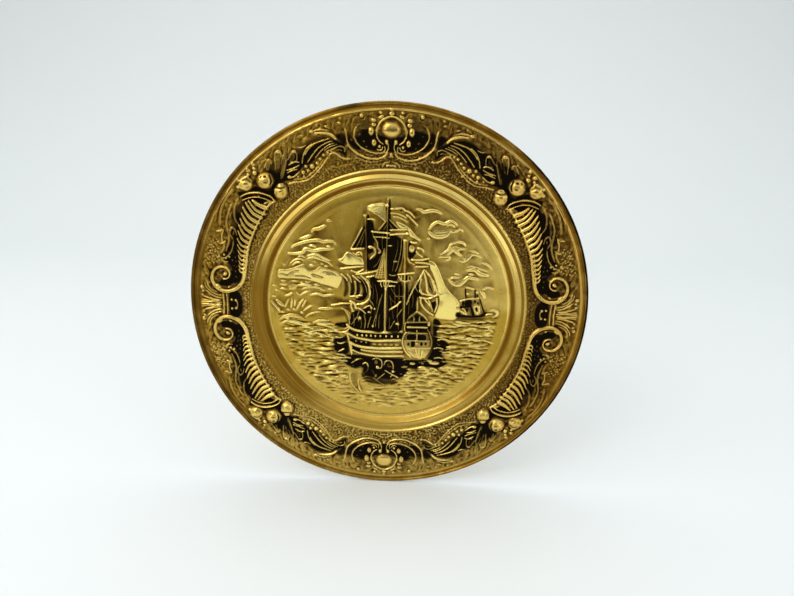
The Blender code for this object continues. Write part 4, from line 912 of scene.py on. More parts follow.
for line, width, clean in (
    ([(-67.7, 52), (-63.3, 53), (-59, 55)], 2.2, 0.6),
    ([(-58.7, 57.4), (-57, 59.4), (-52.7, 60.4), (-47.7, 63)], 2.2, 0.6),
    ([(-74.3, 45.3), (-71.3, 47), (-65.3, 49.3), (-60, 50.7), (-53.3, 51.3), (-50.7, 50.4), (-46, 50.8),
      (-42, 50.7), (-40.6, 49)], 2.2, 0.65),
    ([(-60.7, 46.9), (-58, 47), (-55.3, 46)], 1.4, 1.0),
    ([(-47.6, 46.6), (-46, 46.8), (-44.4, 46.5)], 1.3, 1.0),
    ([(-77, 40.6), (-72, 40.3), (-66, 41.3), (-63.3, 44.2), (-57.3, 43), (-52, 44.3), (-45.3, 44.7),
      (-42.3, 45.7)], 2.2, 0.65),
    ([(-62.7, 38.7), (-58.7, 40), (-54.7, 40), (-50.7, 38), (-44.7, 35.7)], 1.4, 1.0),
    ([(-62.7, 36.7), (-58, 38), (-52.7, 36.7), (-46.7, 34.7), (-43.3, 32)], 1.4, 0.95),
    ([(-69.3, 37.7), (-67.3, 39), (-64, 37.7)], 1.2, 0.9),
    ([(-75.3, 32.7), (-72, 35.3), (-68, 36.3), (-64.7, 35.7)], 1.3, 0.8),
    ([(-74, 31.3), (-71.3, 33.3), (-68.7, 34)], 1.3, 0.85),
    ([(-70, 15.3), (-64, 15.9), (-58.7, 15.3)], 2.0, 0.7),
    ([(-66.7, 12.7), (-62, 14), (-54.7, 14), (-49.3, 12)], 1.3, 0.9),
    ([(-84, 12.3), (-81, 12.4), (-78.7, 12)], 1.2, 0.8), ([(-76.7, 12), (-73, 14), (-70, 15.3)], 1.8, 0.6),
    ([(-80.3, 6.7), (-77.3, 7.3), (-74.3, 9.3)], 1.5, 0.85),
    ([(-68.7, 7.3), (-65.3, 9.3), (-61.3, 11.3)], 1.2, 0.8),
    ([(-71.3, 10), (-70, 8.6), (-68.7, 8)], 1.2, 0.7),
    ([(-60.7, 8), (-54.7, 9), (-49.3, 7.7), (-42, 9.3)], 1.6, 0.85),
    # right side
    ([(19.3, 77.3), (23, 76.5), (24.9, 75.2), (30.3, 76.2), (34.6, 76), (38.3, 74.3)], 2.2, 0.65),
    ([(29.1, 62.2), (32, 66), (35.6, 68), (40.6, 66.9), (44.7, 68.9), (47.2, 68.6), (50.4, 66)], 1.9, 0.8),
    ([(42.6, 65.6), (45.4, 66.5), (48.6, 64.8)], 1.3, 0.8),
    ([(29.1, 60.6), (32.3, 57.9), (37.3, 56.9), (42.2, 58.2), (44.6, 60.2)], 2.7, 0.75),
    ([(45.8, 60.6), (50.1, 61.6), (52.4, 63), (55, 61.5)], 1.3, 0.8),
    ([(38.6, 43.5), (44, 46.9), (46.3, 51.4), (51.7, 53.8)], 1.4, 0.8),
    ([(50, 53.8), (54.9, 53), (57.5, 50.6)], 1.6, 1.0),
    ([(53.2, 39.6), (55.8, 38.4), (59.4, 40.4), (62.9, 44.4), (66.7, 43.6), (69.8, 42.4)], 1.4, 0.8),
    ([(37.5, 41.6), (41.8, 41.9), (45.6, 41.8), (45.6, 39.9), (43.2, 39.2)], 1.3, 0.9),
    ([(60.8, 46.9), (64.6, 46.4), (67.8, 44.9)], 1.1, 0.7),
    ([(50.2, 28.4), (52, 28.6), (53.6, 28.3)], 1.3, 1.0),
    ([(61, 28.5), (62.8, 28.8), (64.4, 28.4)], 1.3, 1.0),
    ([(45.9, 24.4), (49.6, 25.9), (54, 26)], 1.3, 0.8),
    ([(46.5, 23.6), (49.9, 20.7), (53.7, 20.1), (56.7, 22.1), (60.3, 26), (64.1, 25.7), (68.5, 24.9)], 2.4,
     0.8),
    ([(59.3, 31.9), (65.5, 32.3), (69.5, 29.4), (75.9, 28.1)], 2.6, 0.7),
    ([(59.8, 34.2), (62.9, 34.9), (68.6, 33.4), (75, 31.6)], 1.2, 0.8),
    ([(70, 38.4), (74.4, 36.8), (78.4, 33.6)], 1.3, 0.5), ([(72, 17), (76, 18.6), (81, 17.6)], 1.5, 0.5),
    # the sun's rays
    ([(-91.3, 2), (-88, -2), (-84.3, -6.7)], 2.0, 0.7), ([(-87, 3), (-84, 0), (-81.3, -1.8)], 2.4, 0.6),
    ([(-75.7, -3.3), (-75.2, 0.6), (-74.7, 4.7)], 1.3, 0.8),
    ([(-73, -1.4), (-72.6, 1.6), (-72.3, 4.7)], 1.2, 0.8),
    ([(-71.3, -4), (-68.7, 0.7), (-65.7, 4.7)], 1.4, 0.85),
    ([(-67, -1.9), (-65.4, 1), (-63.7, 4)], 1.3, 0.8),
    ([(-66, -5.3), (-62.7, -2.7), (-58.7, 0)], 1.4, 0.85),
    ([(-64.7, -10.7), (-62, -8.3), (-57.3, -6.3), (-52.7, -5.3)], 1.2, 0.8),
    ([(-54.7, -3), (-48.7, -2.8), (-43.3, -2)], 2.0, 0.6),
    ([(-80.4, -2.6), (-79, 0.6), (-77.4, 4)], 1.2, 0.6),
):
    well.strand(line, 1.5 * width, 0.3 + 0.25 * width, clean=clean, ends=0.4)
for centre, radii, height, clean in (
    ((-45.5, 66.5), (2.7, 1.3), 0.6, 0.6), ((-59, 31.7), (2.1, 1.2), 0.7, 0.9),
    ((-56.7, 35), (1.0, 0.8), 0.4, 0.7), ((-51, 33), (1.3, 0.8), 0.5, 0.7),
    ((-48, 31.3), (1.7, 1.0), 0.6, 0.8), ((-68.7, 33.8), (1.2, 0.9), 0.8, 1.0),
    ((-81.3, 18.7), (2.4, 1.0), 0.5, 0.9), ((-72.7, 18.8), (3.0, 0.9), 0.5, 0.9),
    ((-66.7, 17.7), (1.9, 0.9), 0.5, 0.9), ((-62.7, 18.3), (2.5, 0.8), 0.4, 0.8),
    ((-55.3, 16.3), (2.8, 1.0), 0.6, 0.9), ((-45, 13.3), (2.1, 0.9), 0.5, 0.9),
    ((-81, 16), (3.3, 1.7), 0.5, 0.7), ((-74, 14), (3.7, 3.0), 0.5, 0.6), ((-46, 24), (3.4, 2.7), 0.9, 0.8),
    ((-88.3, 14.7), (2.0, 0.9), 0.5, 0.8), ((-86.3, 11), (2.0, 0.8), 0.5, 0.8),
    ((-89, 6), (2.0, 1.0), 0.5, 0.8), ((-80.3, 31.7), (0.9, 0.8), 0.5, 0.8),
    ((-67.3, -6.8), (1.3, 1.1), 0.8, 1.0), ((-82.3, -6.8), (1.9, 1.2), 0.6, 0.8),
    ((-77.7, -4.7), (1.8, 1.1), 0.6, 0.8), ((-73, -4.3), (1.8, 1.1), 0.6, 0.8),
    ((29.2, 55.4), (1.3, 0.9), 0.6, 0.9),
):
    well.dome(centre, radii, height, clean=clean)
well.pad([(-85, 27.6), (-78.7, 28.2), (-73.3, 29.9), (-65.3, 33), (-63.3, 31), (-60.7, 27.8), (-56.7, 28.4),
          (-53.3, 31.4), (-50, 30.8), (-44, 28.9), (-39, 27.4), (-35.4, 24), (-36.4, 18.6), (-39.3, 13.9),
          (-45.3, 15.3), (-52, 16.9), (-58.7, 18.9), (-65.3, 20.2), (-75.3, 20.2), (-85, 20.9)], 0.55,
         edge=1.3, clean=0.85)
well.dome((-66.7, 28.2), (3.2, 2.0), 0.3, level=0.35, clean=0.3)
for cut, width, depth in (
    ([(-58.7, 24.8), (-54, 23.6), (-50.4, 22.4)], 2.0, 0.45),
    ([(-77.7, 23.7), (-74, 26.3), (-69.3, 27.6)], 1.0, 0.35),
    ([(-72, 23.2), (-66, 23.6), (-60, 21.6)], 1.0, 0.3),
    ([(-86, 24.4), (-82, 24.8), (-78, 23.8)], 0.9, 0.25), ([(-50, 27), (-44, 27.2), (-40, 24.6)], 1.0, 0.3),
):
    well.groove(cut, width, depth)
for cloud in (
    [(30, 59.4), (34, 62), (40, 62.6), (45, 63.6), (50, 62.8), (46, 60.2), (40, 58.6), (34, 58.2)],
    [(54.6, 40.8), (58.4, 43.4), (63, 46.6), (67.4, 45.6), (66, 43.2), (62.6, 42.4), (59, 39.6)],
    [(48.6, 22.6), (52.4, 23.6), (56.4, 25.6), (60.4, 27), (58.4, 23.4), (54.6, 20.6), (50.6, 20.4)],
    [(38.4, 42), (43, 45.4), (46.4, 49.8), (49.4, 47), (46.8, 43.6), (43, 41.4)],
):
    well.pad(cloud, 0.4, edge=1.4, clean=0.55)
well.pad([(45.4, 49.4), (50, 50.6), (53, 49.6), (57.6, 49.3), (57.1, 47.4), (53, 46.4), (55.6, 43),
          (53, 42.2), (49.6, 44.4), (47, 46.4)], 0.6, edge=1.2, clean=0.7)
well.pad([(-86, -13.6), (-82.4, -9.6), (-76, -7.4), (-69.4, -8.4), (-64.2, -12.8), (-70, -12.2),
          (-76, -11.6), (-82, -12.8)], 0.7, edge=1.2, clean=0.7)
for centre in ((-75.7, 16), (-57, 35.6), (-53.6, 33.6), (-54, 11)):
    well.shade([(centre[0] + 1.6 * cos(a), centre[1] + 1.1 * sin(a)) for a in np.arange(0, 2 * pi, pi / 3)],
               0.4, edge=1.4)

# ---------------------------------------------------------------- the well: the far ship
# A small ship under sail lies off to the right, with its reflection as a few strokes below it. Its dark
# parts are sunk and waxed, and the lit edges of its sails and hull are rubbed.

for dark in (
    [(52.8, -2.4), (54.9, -1.7), (56.3, -3), (57.6, -4.2), (61.2, -4.4), (66.9, -4.5), (72, -3.6),
     (74.4, -1.6), (76.2, -1.2), (78.5, -2.1), (75.8, -3.6), (73.3, -5), (67.6, -5.8), (59.4, -6.2),
     (55.5, -6), (53, -5.6)],
    [(57.3, 6.8), (58.9, 7), (59.1, 3.9), (57.5, 3.6)], [(59.7, 7.5), (64.3, 8.1), (64.6, 3.9), (59.9, 3)],
    [(66.2, 8), (67.8, 8.2), (67.9, 6.2), (66.4, 6.2)],
    [(68.8, 6.8), (70.2, 6.8), (70.2, 5.2), (68.9, 5.2)],
    [(53.5, 2.8), (58.8, 3.2), (64.1, 4), (64.4, 2.6), (58.9, 1.6), (53.7, 1.2)],
    [(60, 1), (61.9, 1.4), (62.3, -1), (60.4, -1.4)], [(63.6, 3), (65, 3), (67.6, -4.6), (65.8, -4.6)],
    [(67.8, 1.9), (69.1, 2.1), (69.5, 0.2), (68.2, -0.2)],
):
    well.pocket(dark, edge=0.8)
for mast in (
    [(59.2, 17.2), (59.5, 13.2), (60.3, 9.6)], [(66.6, 16.7), (66.8, 13.4), (67.2, 10.2)],
    [(68.6, 13), (68.9, 11.6), (69, 10.6)], [(70.6, 9.4), (72.4, 4.6), (74.7, -1.4)],
):
    path = [(x - 0.5, y - 0.2) for x, y in mast] + [(x + 0.5, y + 0.2) for x, y in mast[::-1]]
    well.shade(path, 1.0, edge=0.8)
well.shade([(53, -6.8), (62, -7), (72, -6.4), (76, -5.8), (74, -7.6), (64, -8.4), (54, -8)], 0.6, edge=1.4)
well.pad([(69.3, 16.8), (72.5, 15.8), (74.9, 13.7), (75.6, 10.6), (73.8, 9.6), (71.6, 12.8)], 0.5, edge=1.0,
         clean=0.9)
for line, width, clean in (
    ([(59.8, 18.2), (62.3, 17.8), (65.5, 17)], 1.7, 0.7),
    ([(54.4, 5.4), (54.7, 4.4), (55.2, 3.4)], 1.4, 0.8),
    ([(55.4, 7.2), (59.7, 8.6), (64.7, 9.5), (69.3, 10)], 1.3, 0.9),
    ([(57.9, 1.2), (59.4, 0.4), (60.8, -2.2)], 1.2, 0.8),
    ([(56.4, -0.9), (58.6, -2.3), (61.2, -3.6)], 1.8, 1.0),
    ([(66.6, 2.8), (69, 3.6), (70.8, 1.4), (70.9, -2)], 1.3, 0.9),
    ([(66.8, 2), (67.5, -0.4), (68.6, -2.6), (70.6, -3)], 1.1, 0.9),
    ([(75.8, -3.4), (77.9, -2.7), (80.6, -2.4)], 1.6, 1.0),
    ([(53.5, -9.7), (58.4, -10.6), (64.1, -11)], 1.7, 1.0),
    ([(69.2, -10.2), (72.3, -9.4), (75.6, -9.8)], 1.5, 1.0),
):
    well.strand(line, width, 0.4 + 0.3 * width, clean=clean, ends=0.6)
well.strand([(79.3, 0.3), (82.1, 0.8), (84.9, -1), (84.6, -3.2), (81.6, -5)], 2.6, 0.7, clean=0.8, ends=0.4)
for centre, radii in (
    ((61, 13.2), (0.9, 0.8)), ((68.3, 14.6), (1.1, 0.9)), ((56.6, 7.5), (0.9, 0.7)),
    ((61.8, 9), (0.9, 0.7)), ((65.4, 9.5), (0.9, 0.7)), ((68.8, 9.9), (1.1, 0.8)),
    ((69.6, -1.8), (1.1, 0.9)), ((70.2, 3), (0.9, 0.7)),
):
    well.dome(centre, radii, 0.9, clean=1.0)

# ---------------------------------------------------------------- the plate: the pressed sheet
# The plate is one sheet of brass 0.6 mm thick, drawn to a shallow well, raised over a broad round shoulder
# and rolled over at its edge. The dies above give its relief, and its back follows it more softly.

SHEET = 0.6
WELL_REACH = 93
EDGE = 149.7
ROLL_AT, ROLL_UP, ROLL = 151.2, 5.3, 1.3

section = [(0, 0.6), (84, 0.6), (86.4, 0.75), (88.6, 0.55), (91.6, 0.6), (92.2, 0.75), (93, 1.15),
           (93.6, 1.05), (94.2, 1.1), (95.6, 3.3), (96.8, 5.0), (97.7, 5.75), (98.8, 6.1), (99.6, 6.0),
           (101, 5.4), (102.3, 4.7), (102.9, 4.5), (104.1, 4.7), (104.7, 5.4), (105.2, 6.0), (105.6, 5.7),
           (106.2, 5.15), (107, 5.4), (120, 5.75), (146.4, 5.75), (147, 6.2), (147.7, 5.9), (148.4, 5.6),
           (149.0, 5.6), (149.7, 5.35), (152, 5.3)]
STEP, ROUNDING, TAIL = 0.05, 0.22, 24
radii = np.arange(0, 152, STEP)
kernel = np.exp(-0.5 * (np.arange(-TAIL, TAIL + 1) * STEP / ROUNDING) ** 2)
drawn = np.pad(np.interp(radii, *np.array(section).T), TAIL, "edge")
drawn = np.convolve(drawn, kernel / kernel.sum(), "valid")
nets = {
    "height": (well.height, border.height),
    "wax": (well.black * (1 - well.wiped), border.black * (1 - border.wiped)),
    "polish": (well.wiped, border.wiped),
    "smear": (well.black, border.black),
}


def read(die, net, x, y):
    """The value of a net at any place, mixed from its four nearest points."""
    across = np.clip((x - die.x[0]) / NET, 0, len(die.x) - 1.001)
    up = np.clip((y - die.y[0]) / NET, 0, len(die.y) - 1.001)
    j, i = across.astype(int), up.astype(int)
    u, v = across - j, up - i
    low = net[i, j] * (1 - u) + net[i, j + 1] * u
    high = net[i + 1, j] * (1 - u) + net[i + 1, j + 1] * u
    return low * (1 - v) + high * v


def over_plate(name, reach):
    """Joins the two dies' nets of one kind into one function of place over the whole plate."""
    inner, outer = (soften(net, reach) for net in nets[name])

    def at(x, y):
        r = np.hypot(x, y)
        # no two quarters of a hand-cut die are quite alike
        dx = 0.30 * np.sin(0.075 * x + 0.05 * y) + 0.2 * np.sin(0.031 * y - 1)
        dy = 0.30 * np.sin(0.068 * y - 0.06 * x + 2) + 0.2 * np.sin(0.043 * x)
        quarter = read(border, outer, np.abs(x + dx), np.abs(y + dy))
        return (read(well, inner, x, y) * ease((93.4 - r) / 1.2)
                + quarter * ease((r - 103.6) / 1.4) * ease((148 - r) / 1.2))
    return at


relief = over_plate("height", 0.22)
relief_soft = over_plate("height", 0.8)
wax = over_plate("wax", 0.12)
polish = over_plate("polish", 0.15)


LOW, GIVE = 0.15, 0.2
BACK_LOW, ROUND_ABOUT, CLEAR = -0.3, 0.9, 0.12


def front(x, y):
    """The height of the front. Below LOW its deepest cuts level off, by no more than GIVE."""
    height = np.interp(np.hypot(x, y), radii, drawn) + relief(x, y)
    return np.where(height < LOW, LOW - GIVE * np.tanh((LOW - height) / GIVE), height)


def back(x, y):
    """The height of the back, kept a little behind the lowest of the front round about."""
    softer = np.interp(np.hypot(x, y), radii, drawn) + 0.8 * relief_soft(x, y) - SHEET
    reach = ROUND_ABOUT
    beside = [front(x + dx, y + dy) for dx, dy in ((0, 0), (reach, 0), (-reach, 0), (0, reach), (0, -reach))]
    return np.minimum(np.maximum(softer, BACK_LOW), np.min(beside, axis=0) - CLEAR)


def tall(x, y):
    """The front with its relief and wax edges overdrawn, so that thinning the mesh spares them."""
    r = np.hypot(x, y)
    steps = np.interp(r, radii, drawn) * (1 + 0.8 * ease((146.8 - r) / 3))
    return steps + 2 * relief(x, y) + 0.9 * wax(x, y) + 0.35 * polish(x, y)


def disc(count, reach):
    """A square net of count cells a side, drawn to a disc, as rows of points."""
    side = np.linspace(-1, 1, count + 1)
    u, v = np.meshgrid(side, side)
    wide = np.abs(u) > np.abs(v)
    long = np.where(wide, u, v)
    turn = np.where(wide, v, u) / np.where(long == 0, 1, long) * pi / 4
    x = reach * long * np.where(wide, np.cos(turn), np.sin(turn))
    y = reach * long * np.where(wide, np.sin(turn), np.cos(turn))
    return x, y


def sheet_side(count, step, height):
    """One side of the sheet: a disc for the well and rings round it out to the edge."""
    x, y = disc(count, WELL_REACH)
    net = np.arange((count + 1) ** 2).reshape(count + 1, count + 1)
    quads = np.stack([net[:-1, :-1], net[:-1, 1:], net[1:, 1:], net[1:, :-1]], -1).reshape(-1, 4)
    rim = np.concatenate([net[0, :-1], net[:-1, -1], net[-1, :0:-1], net[:0:-1, 0]])
    angles = np.arctan2(y.ravel()[rim], x.ravel()[rim])
    rings = np.linspace(WELL_REACH, EDGE, int((EDGE - WELL_REACH) / step) + 1)[1:]
    px = np.concatenate([x.ravel(), np.outer(rings, np.cos(angles)).ravel()])
    py = np.concatenate([y.ravel(), np.outer(rings, np.sin(angles)).ravel()])
    ring = net.size + np.arange(len(rings) * len(rim)).reshape(len(rings), len(rim))
    ring = np.vstack([rim[None], ring])
    beyond = np.roll(ring, -1, axis=1)
    quads = np.vstack([quads, np.stack([ring[:-1], ring[1:], beyond[1:], beyond[:-1]], -1).reshape(-1, 4)])
    return np.stack([px, py, height(px, py)], -1), quads, ring[-1], angles


MOST_TRIANGLES = 192000
face, face_quads, face_rim, turns = sheet_side(count=560, step=0.36, height=tall)
rear, rear_quads, rear_rim, _ = sheet_side(count=140, step=1.0, height=back)
rolled = []
for lean in np.radians(np.linspace(168, -158, 15)):
    r, h = ROLL_AT + ROLL * np.cos(lean), ROLL_UP + ROLL * np.sin(lean)
    rolled.append(np.stack([r * np.cos(turns), r * np.sin(turns), np.full(len(turns), h)], -1))
points = np.vstack([face] + rolled + [rear])
rings = len(face) + np.arange(len(rolled) * len(turns)).reshape(len(rolled), len(turns))
rings = np.vstack([face_rim[None], rings])
beyond = np.roll(rings, -1, axis=1)
roll_quads = np.stack([rings[:-1], rings[1:], beyond[1:], beyond[:-1]], -1).reshape(-1, 4)
# the back's rim has a quarter as many points as the roll, so each of them meets four of the roll's
first_rear = len(points) - len(rear)
outer, inner = rings[-1], first_rear + rear_rim
onward = np.append(outer, outer[0])
fan = [np.stack([onward[k:-1:4], inner, onward[k + 1::4]], -1) for k in range(4)]
fan.append(np.stack([onward[4::4], inner, np.roll(inner, -1)], -1))
triangles = np.vstack(fan)
quads = np.vstack([face_quads, roll_quads, first_rear + rear_quads[:, ::-1]])
mesh = bpy.data.meshes.new("sheet")
mesh.vertices.add(len(points))
mesh.vertices.foreach_set("co", (points[:, [0, 2, 1]] * (0.001, -0.001, 0.001)).ravel())
mesh.loops.add(4 * len(quads) + 3 * len(triangles))
mesh.loops.foreach_set("vertex_index", np.concatenate([quads.ravel(), triangles.ravel()]))
mesh.polygons.add(len(quads) + len(triangles))
starts = np.concatenate([4 * np.arange(len(quads)), 4 * len(quads) + 3 * np.arange(len(triangles))])
mesh.polygons.foreach_set("loop_start", starts)
mesh.update(calc_edges=True)
mesh.validate()
plate = bpy.data.objects.new("pressed_plate", mesh)
bpy.context.scene.collection.objects.link(plate)
thinner = plate.modifiers.new("thin", "DECIMATE")
thinner.ratio = MOST_TRIANGLES / (2 * len(quads) + len(triangles))
mesh = bpy.data.meshes.new_from_object(plate.evaluated_get(bpy.context.evaluated_depsgraph_get()))
plate.modifiers.clear()
plate.data = mesh

# The overdrawn heights go back to their true ones, and each point takes the die's own slope as its normal.
at = np.empty(3 * len(mesh.vertices), np.float32)
mesh.vertices.foreach_get("co", at)
at = at.reshape(-1, 3).astype(float) * 1000
x, y, h = at[:, 0], at[:, 2], -at[:, 1]
r = np.hypot(x, y)
on_sheet = r < EDGE + 0.05
is_front = on_sheet & (np.abs(h - tall(x, y)) < np.abs(h - back(x, y)))
is_back = on_sheet & ~is_front
h = np.where(is_front, front(x, y), h)
mesh.vertices.foreach_set("co", (np.stack([x, -h, y], -1) * 0.001).astype(np.float32).ravel())


def slope(height, x, y, reach=0.12):
    across = (height(x + reach, y) - height(x - reach, y)) / (2 * reach)
    up = (height(x, y + reach) - height(x, y - reach)) / (2 * reach)
    return np.stack([-across, -np.ones_like(x), -up], -1)


normals = np.stack([(r - ROLL_AT) * x / r, -(h - ROLL_UP), (r - ROLL_AT) * y / r], -1)
normals[is_front] = slope(front, x[is_front], y[is_front])
normals[is_back] = -slope(back, x[is_back], y[is_back], 0.5)
normals /= np.linalg.norm(normals, axis=1)[:, None]
mesh.polygons.foreach_set("use_smooth", np.ones(len(mesh.polygons), bool))
mesh.normals_split_custom_set_from_vertices(normals.tolist())

# Where wax, polish and grime lie, for the brass below to show.
hollow_of = over_plate("height", 0.95)
smear_of = over_plate("smear", 1.3)
facing = np.degrees(np.arctan2(y, x))
worn_top = ease(1 - np.abs(facing - 101) / 9) * ease((r - 148.6) / 1.6)
# the upper left was wiped hardest, and its leaves stand on brown ground instead of black
thin = np.zeros_like(r)
for across, up, reach in (
    (-84, 111, 13), (-93, 108, 10), (-58, 127, 11), (-48, 132, 9), (-68, 121, 9), (114, -73, 9),
    (-112, 76, 8), (-119, 62, 7), (-122, 50, 6), (-36, 136, 7), (-27, 130, 5), (26, -134, 8),
    (-30, -136, 8),
):
    thin = np.maximum(thin, ease(1.6 - 1.2 * np.hypot(x - across, y - up) / reach))
thin *= is_front
bare = ease((r - 106.2) / 0.8) * ease((146.6 - r) / 1.2)
kept_wax = np.where(is_front, np.clip(wax(x, y), 0, 1) * (1 - 0.72 * thin), 0)
wear = {
    "wax": np.where(is_back, 0, kept_wax + 0.6 * worn_top),
    "polish": np.where(is_front, np.clip(polish(x, y), 0, 1), 0.3),
    "hollow": np.where(is_front, np.clip(1.6 * (hollow_of(x, y) - relief(x, y)), -1, 1), 0),
    "smear": np.where(is_front, np.clip(smear_of(x, y) * (1 - 0.6 * thin), 0, 1), 0),
    "matted": np.where(is_front, np.clip(bare * (1 - 1.6 * polish(x, y)), 0, 1), 0),
    "front": np.where(is_back, 0.0, 1.0),
}
for name, values in wear.items():
    mesh.attributes.new(name, "FLOAT", "POINT").data.foreach_set("value", values.astype(np.float32))
mesh.update()

# ---------------------------------------------------------------- the plate: its brass
# Old lacquered brass: pale gold where it is rubbed, olive where it has tarnished, orange where the copper
# shows through, with brown grime in the corners and black wax in the deep ground. Painted light is mixed in:
# the raised rings carry a painted highlight over the top and painted shade down the sides, and the well's
# most rubbed lines are painted paler as a painted highlight.

brass = bpy.data.materials.new("antiqued_brass")
brass.use_nodes = True
nodes, links = brass.node_tree.nodes, brass.node_tree.links
shader = nodes["Principled BSDF"]
shader.inputs["Metallic"].default_value = 1
shader.inputs["Roughness"].default_value = 0.3
place = nodes.new("ShaderNodeTexCoord").outputs["Object"]


def math_node(kind, a, b=None, c=None, clamp=False):
    node = nodes.new("ShaderNodeMath")
    node.operation = kind
    node.use_clamp = clamp
    for socket, value in zip(node.inputs, (a, b, c)):
        if value is None:
            continue
        if isinstance(value, (int, float)):
            socket.default_value = value
        else:
            links.new(value, socket)
    return node.outputs[0]


def times(a, b, clamp=False):
    return math_node("MULTIPLY", a, b, clamp=clamp)


def most(a, b, clamp=False):
    return math_node("MAXIMUM", a, b, clamp=clamp)


def scaled(value, by, plus, clamp=False):
    return math_node("MULTIPLY_ADD", value, by, plus, clamp=clamp)


def noise(scale, detail, roughness=0.55):
    """Cloudy noise; scale is in patches to the metre."""
    node = nodes.new("ShaderNodeTexNoise")
    node.inputs["Scale"].default_value = scale
    node.inputs["Detail"].default_value = detail
    node.inputs["Roughness"].default_value = roughness
    links.new(place, node.inputs["Vector"])
    return node.outputs["Fac"]


def between(value, low, high, to_low=0.0, to_high=1.0):
    node = nodes.new("ShaderNodeMapRange")
    node.interpolation_type = "SMOOTHSTEP"
    links.new(value, node.inputs["Value"])
    for name, number in zip(("From Min", "From Max", "To Min", "To Max"), (low, high, to_low, to_high)):
        node.inputs[name].default_value = number
    return node.outputs["Result"]


def mix(amount, a, b, blend="MIX"):
    node = nodes.new("ShaderNodeMix")
    node.data_type = "RGBA"
    node.blend_type = blend
    for socket, value in zip((node.inputs["Factor"], node.inputs["A"], node.inputs["B"]), (amount, a, b)):
        if isinstance(value, (int, float)):
            socket.default_value = value
        elif isinstance(value, tuple):
            socket.default_value = (*value, 1)
        else:
            links.new(value, socket)
    return node.outputs["Result"]


def wear_of(name):
    node = nodes.new("ShaderNodeAttribute")
    node.attribute_name = name
    return node.outputs["Fac"]


def spot(x, y, reach):
    """One inside a round place on the plate, fading to nought at reach; all in millimetres."""
    mapping = nodes.new("ShaderNodeVectorMath")
    mapping.operation = "DISTANCE"
    links.new(place, mapping.inputs[0])
    mapping.inputs[1].default_value = (x / 1000, -0.001, y / 1000)
    return between(mapping.outputs["Value"], 0, reach / 1000, 1, 0)


def ring(low, full, still, high):
    """One on the ring from full to still millimetres from the middle, fading to nought at low and high."""
    return times(between(radius, low, full), between(radius, still, high, 1, 0))


def all_of(first, *others):
    for other in others:
        first = math_node("ADD", first, other)
    return first


wax_left, rubbed_and_lit, sunk = wear_of("wax"), wear_of("polish"), wear_of("hollow")
matted, smear, front_side = wear_of("matted"), wear_of("smear"), wear_of("front")
flat = nodes.new("ShaderNodeVectorMath")
flat.operation = "MULTIPLY"
flat.inputs[1].default_value = (1000, 0, 1000)
links.new(place, flat.inputs[0])
middle = nodes.new("ShaderNodeVectorMath")
middle.operation = "LENGTH"
links.new(flat.outputs["Vector"], middle.inputs[0])
radius = middle.outputs["Value"]
split = nodes.new("ShaderNodeSeparateXYZ")
links.new(flat.outputs["Vector"], split.inputs[0])
rightward = math_node("DIVIDE", split.outputs["X"], most(radius, 1.0))
upward_share = math_node("DIVIDE", split.outputs["Z"], most(radius, 1.0))
at_left = between(rightward, -0.35, -0.9)
at_right = between(rightward, 0.35, 0.8)
left_half = between(rightward, 0.15, -0.5)
at_foot = between(upward_share, -0.45, -0.85)
clouds = noise(16, 5)
blotches = noise(75, 5, 0.6)
specks = noise(520, 3, 0.6)
grain = noise(1700, 3, 0.6)
pebble = nodes.new("ShaderNodeTexVoronoi")
pebble.feature = "SMOOTH_F1"
pebble.inputs["Scale"].default_value = 540
pebble.inputs["Smoothness"].default_value = 0.4
links.new(place, pebble.inputs["Vector"])
punched = times(matted, scaled(ring(105.6, 107, 114, 128), 0.7, 0.3))
punched = times(punched, scaled(at_right, -0.4, 1.0))
pits = times(between(pebble.outputs["Distance"], 0.34, 0.62), punched)
peaks = times(between(pebble.outputs["Distance"], 0.32, 0.1), punched)

# the raised rings are rubbed bright, and painted brighter still over the top and the upper right as a
# painted highlight of the light from above; down the sides and along the rim they are browned, partly
# tarnish and partly painted shade
top_lit = between(upward_share, 0.12, 0.6)
right_lit = times(at_right, between(upward_share, -0.3, 0.1))
top_lit = most(top_lit, right_lit)
crown = ring(97.6, 98.8, 101.8, 102.7)
bead = ring(104.4, 104.9, 105.7, 106.3)
bright = all_of(times(crown, 0.5), ring(92.2, 92.9, 93.5, 94.3), ring(146.2, 146.8, 147.3, 148))
bright = times(bright, scaled(top_lit, 0.6, 0.4))
bright = most(bright, bead)
# the rings' painted highlight is added to the rubbed polish here
rubbed_and_lit = most(rubbed_and_lit, times(bright, front_side), clamp=True)
rubbed_and_lit = most(rubbed_and_lit, peaks)
# painted shade: the rings are browned away from the top of the plate, more at the left, and little at the
# very foot
shaded_sides = times(between(upward_share, 0.6, 0.12), between(rightward, 0.75, -0.3, 0.5, 1.0))
shaded_sides = times(shaded_sides, between(upward_share, -0.97, -0.7, 0.2, 1))
browned_and_shaded = times(ring(92.4, 94.6, 105.6, 106.6), shaded_sides)
browned_and_shaded = most(browned_and_shaded, times(crown, between(rightward, 0.4, -0.3, 0.05, 0.34)))
rim_brown = times(ring(143.6, 145.6, 151.4, 153), scaled(shaded_sides, 0.75, 0.12))
rim_brown = most(rim_brown, ring(147.6, 148.6, 152, 154))
rim_brown = times(rim_brown, scaled(between(blotches, 0.3, 0.62), 0.35, 0.65))
browned_and_shaded = most(browned_and_shaded, rim_brown)
# the rim was spun, which left fine dark lines round it
lines = all_of(ring(145.5, 145.8, 146, 146.3), ring(147.7, 148, 148.2, 148.6),
               ring(149.2, 149.5, 149.6, 149.9))
browned_and_shaded = most(browned_and_shaded, times(lines, between(clouds, 0.3, 0.55)))
gutter = all_of(ring(94.2, 95.2, 97.2, 98.6), ring(102, 102.6, 104.2, 104.8), ring(106, 106.4, 106.8, 107.8))
browned_and_shaded = most(browned_and_shaded, times(gutter, between(upward_share, -0.95, -0.6, 0.45, 0.95)))
browned_and_shaded = times(browned_and_shaded, front_side, clamp=True)

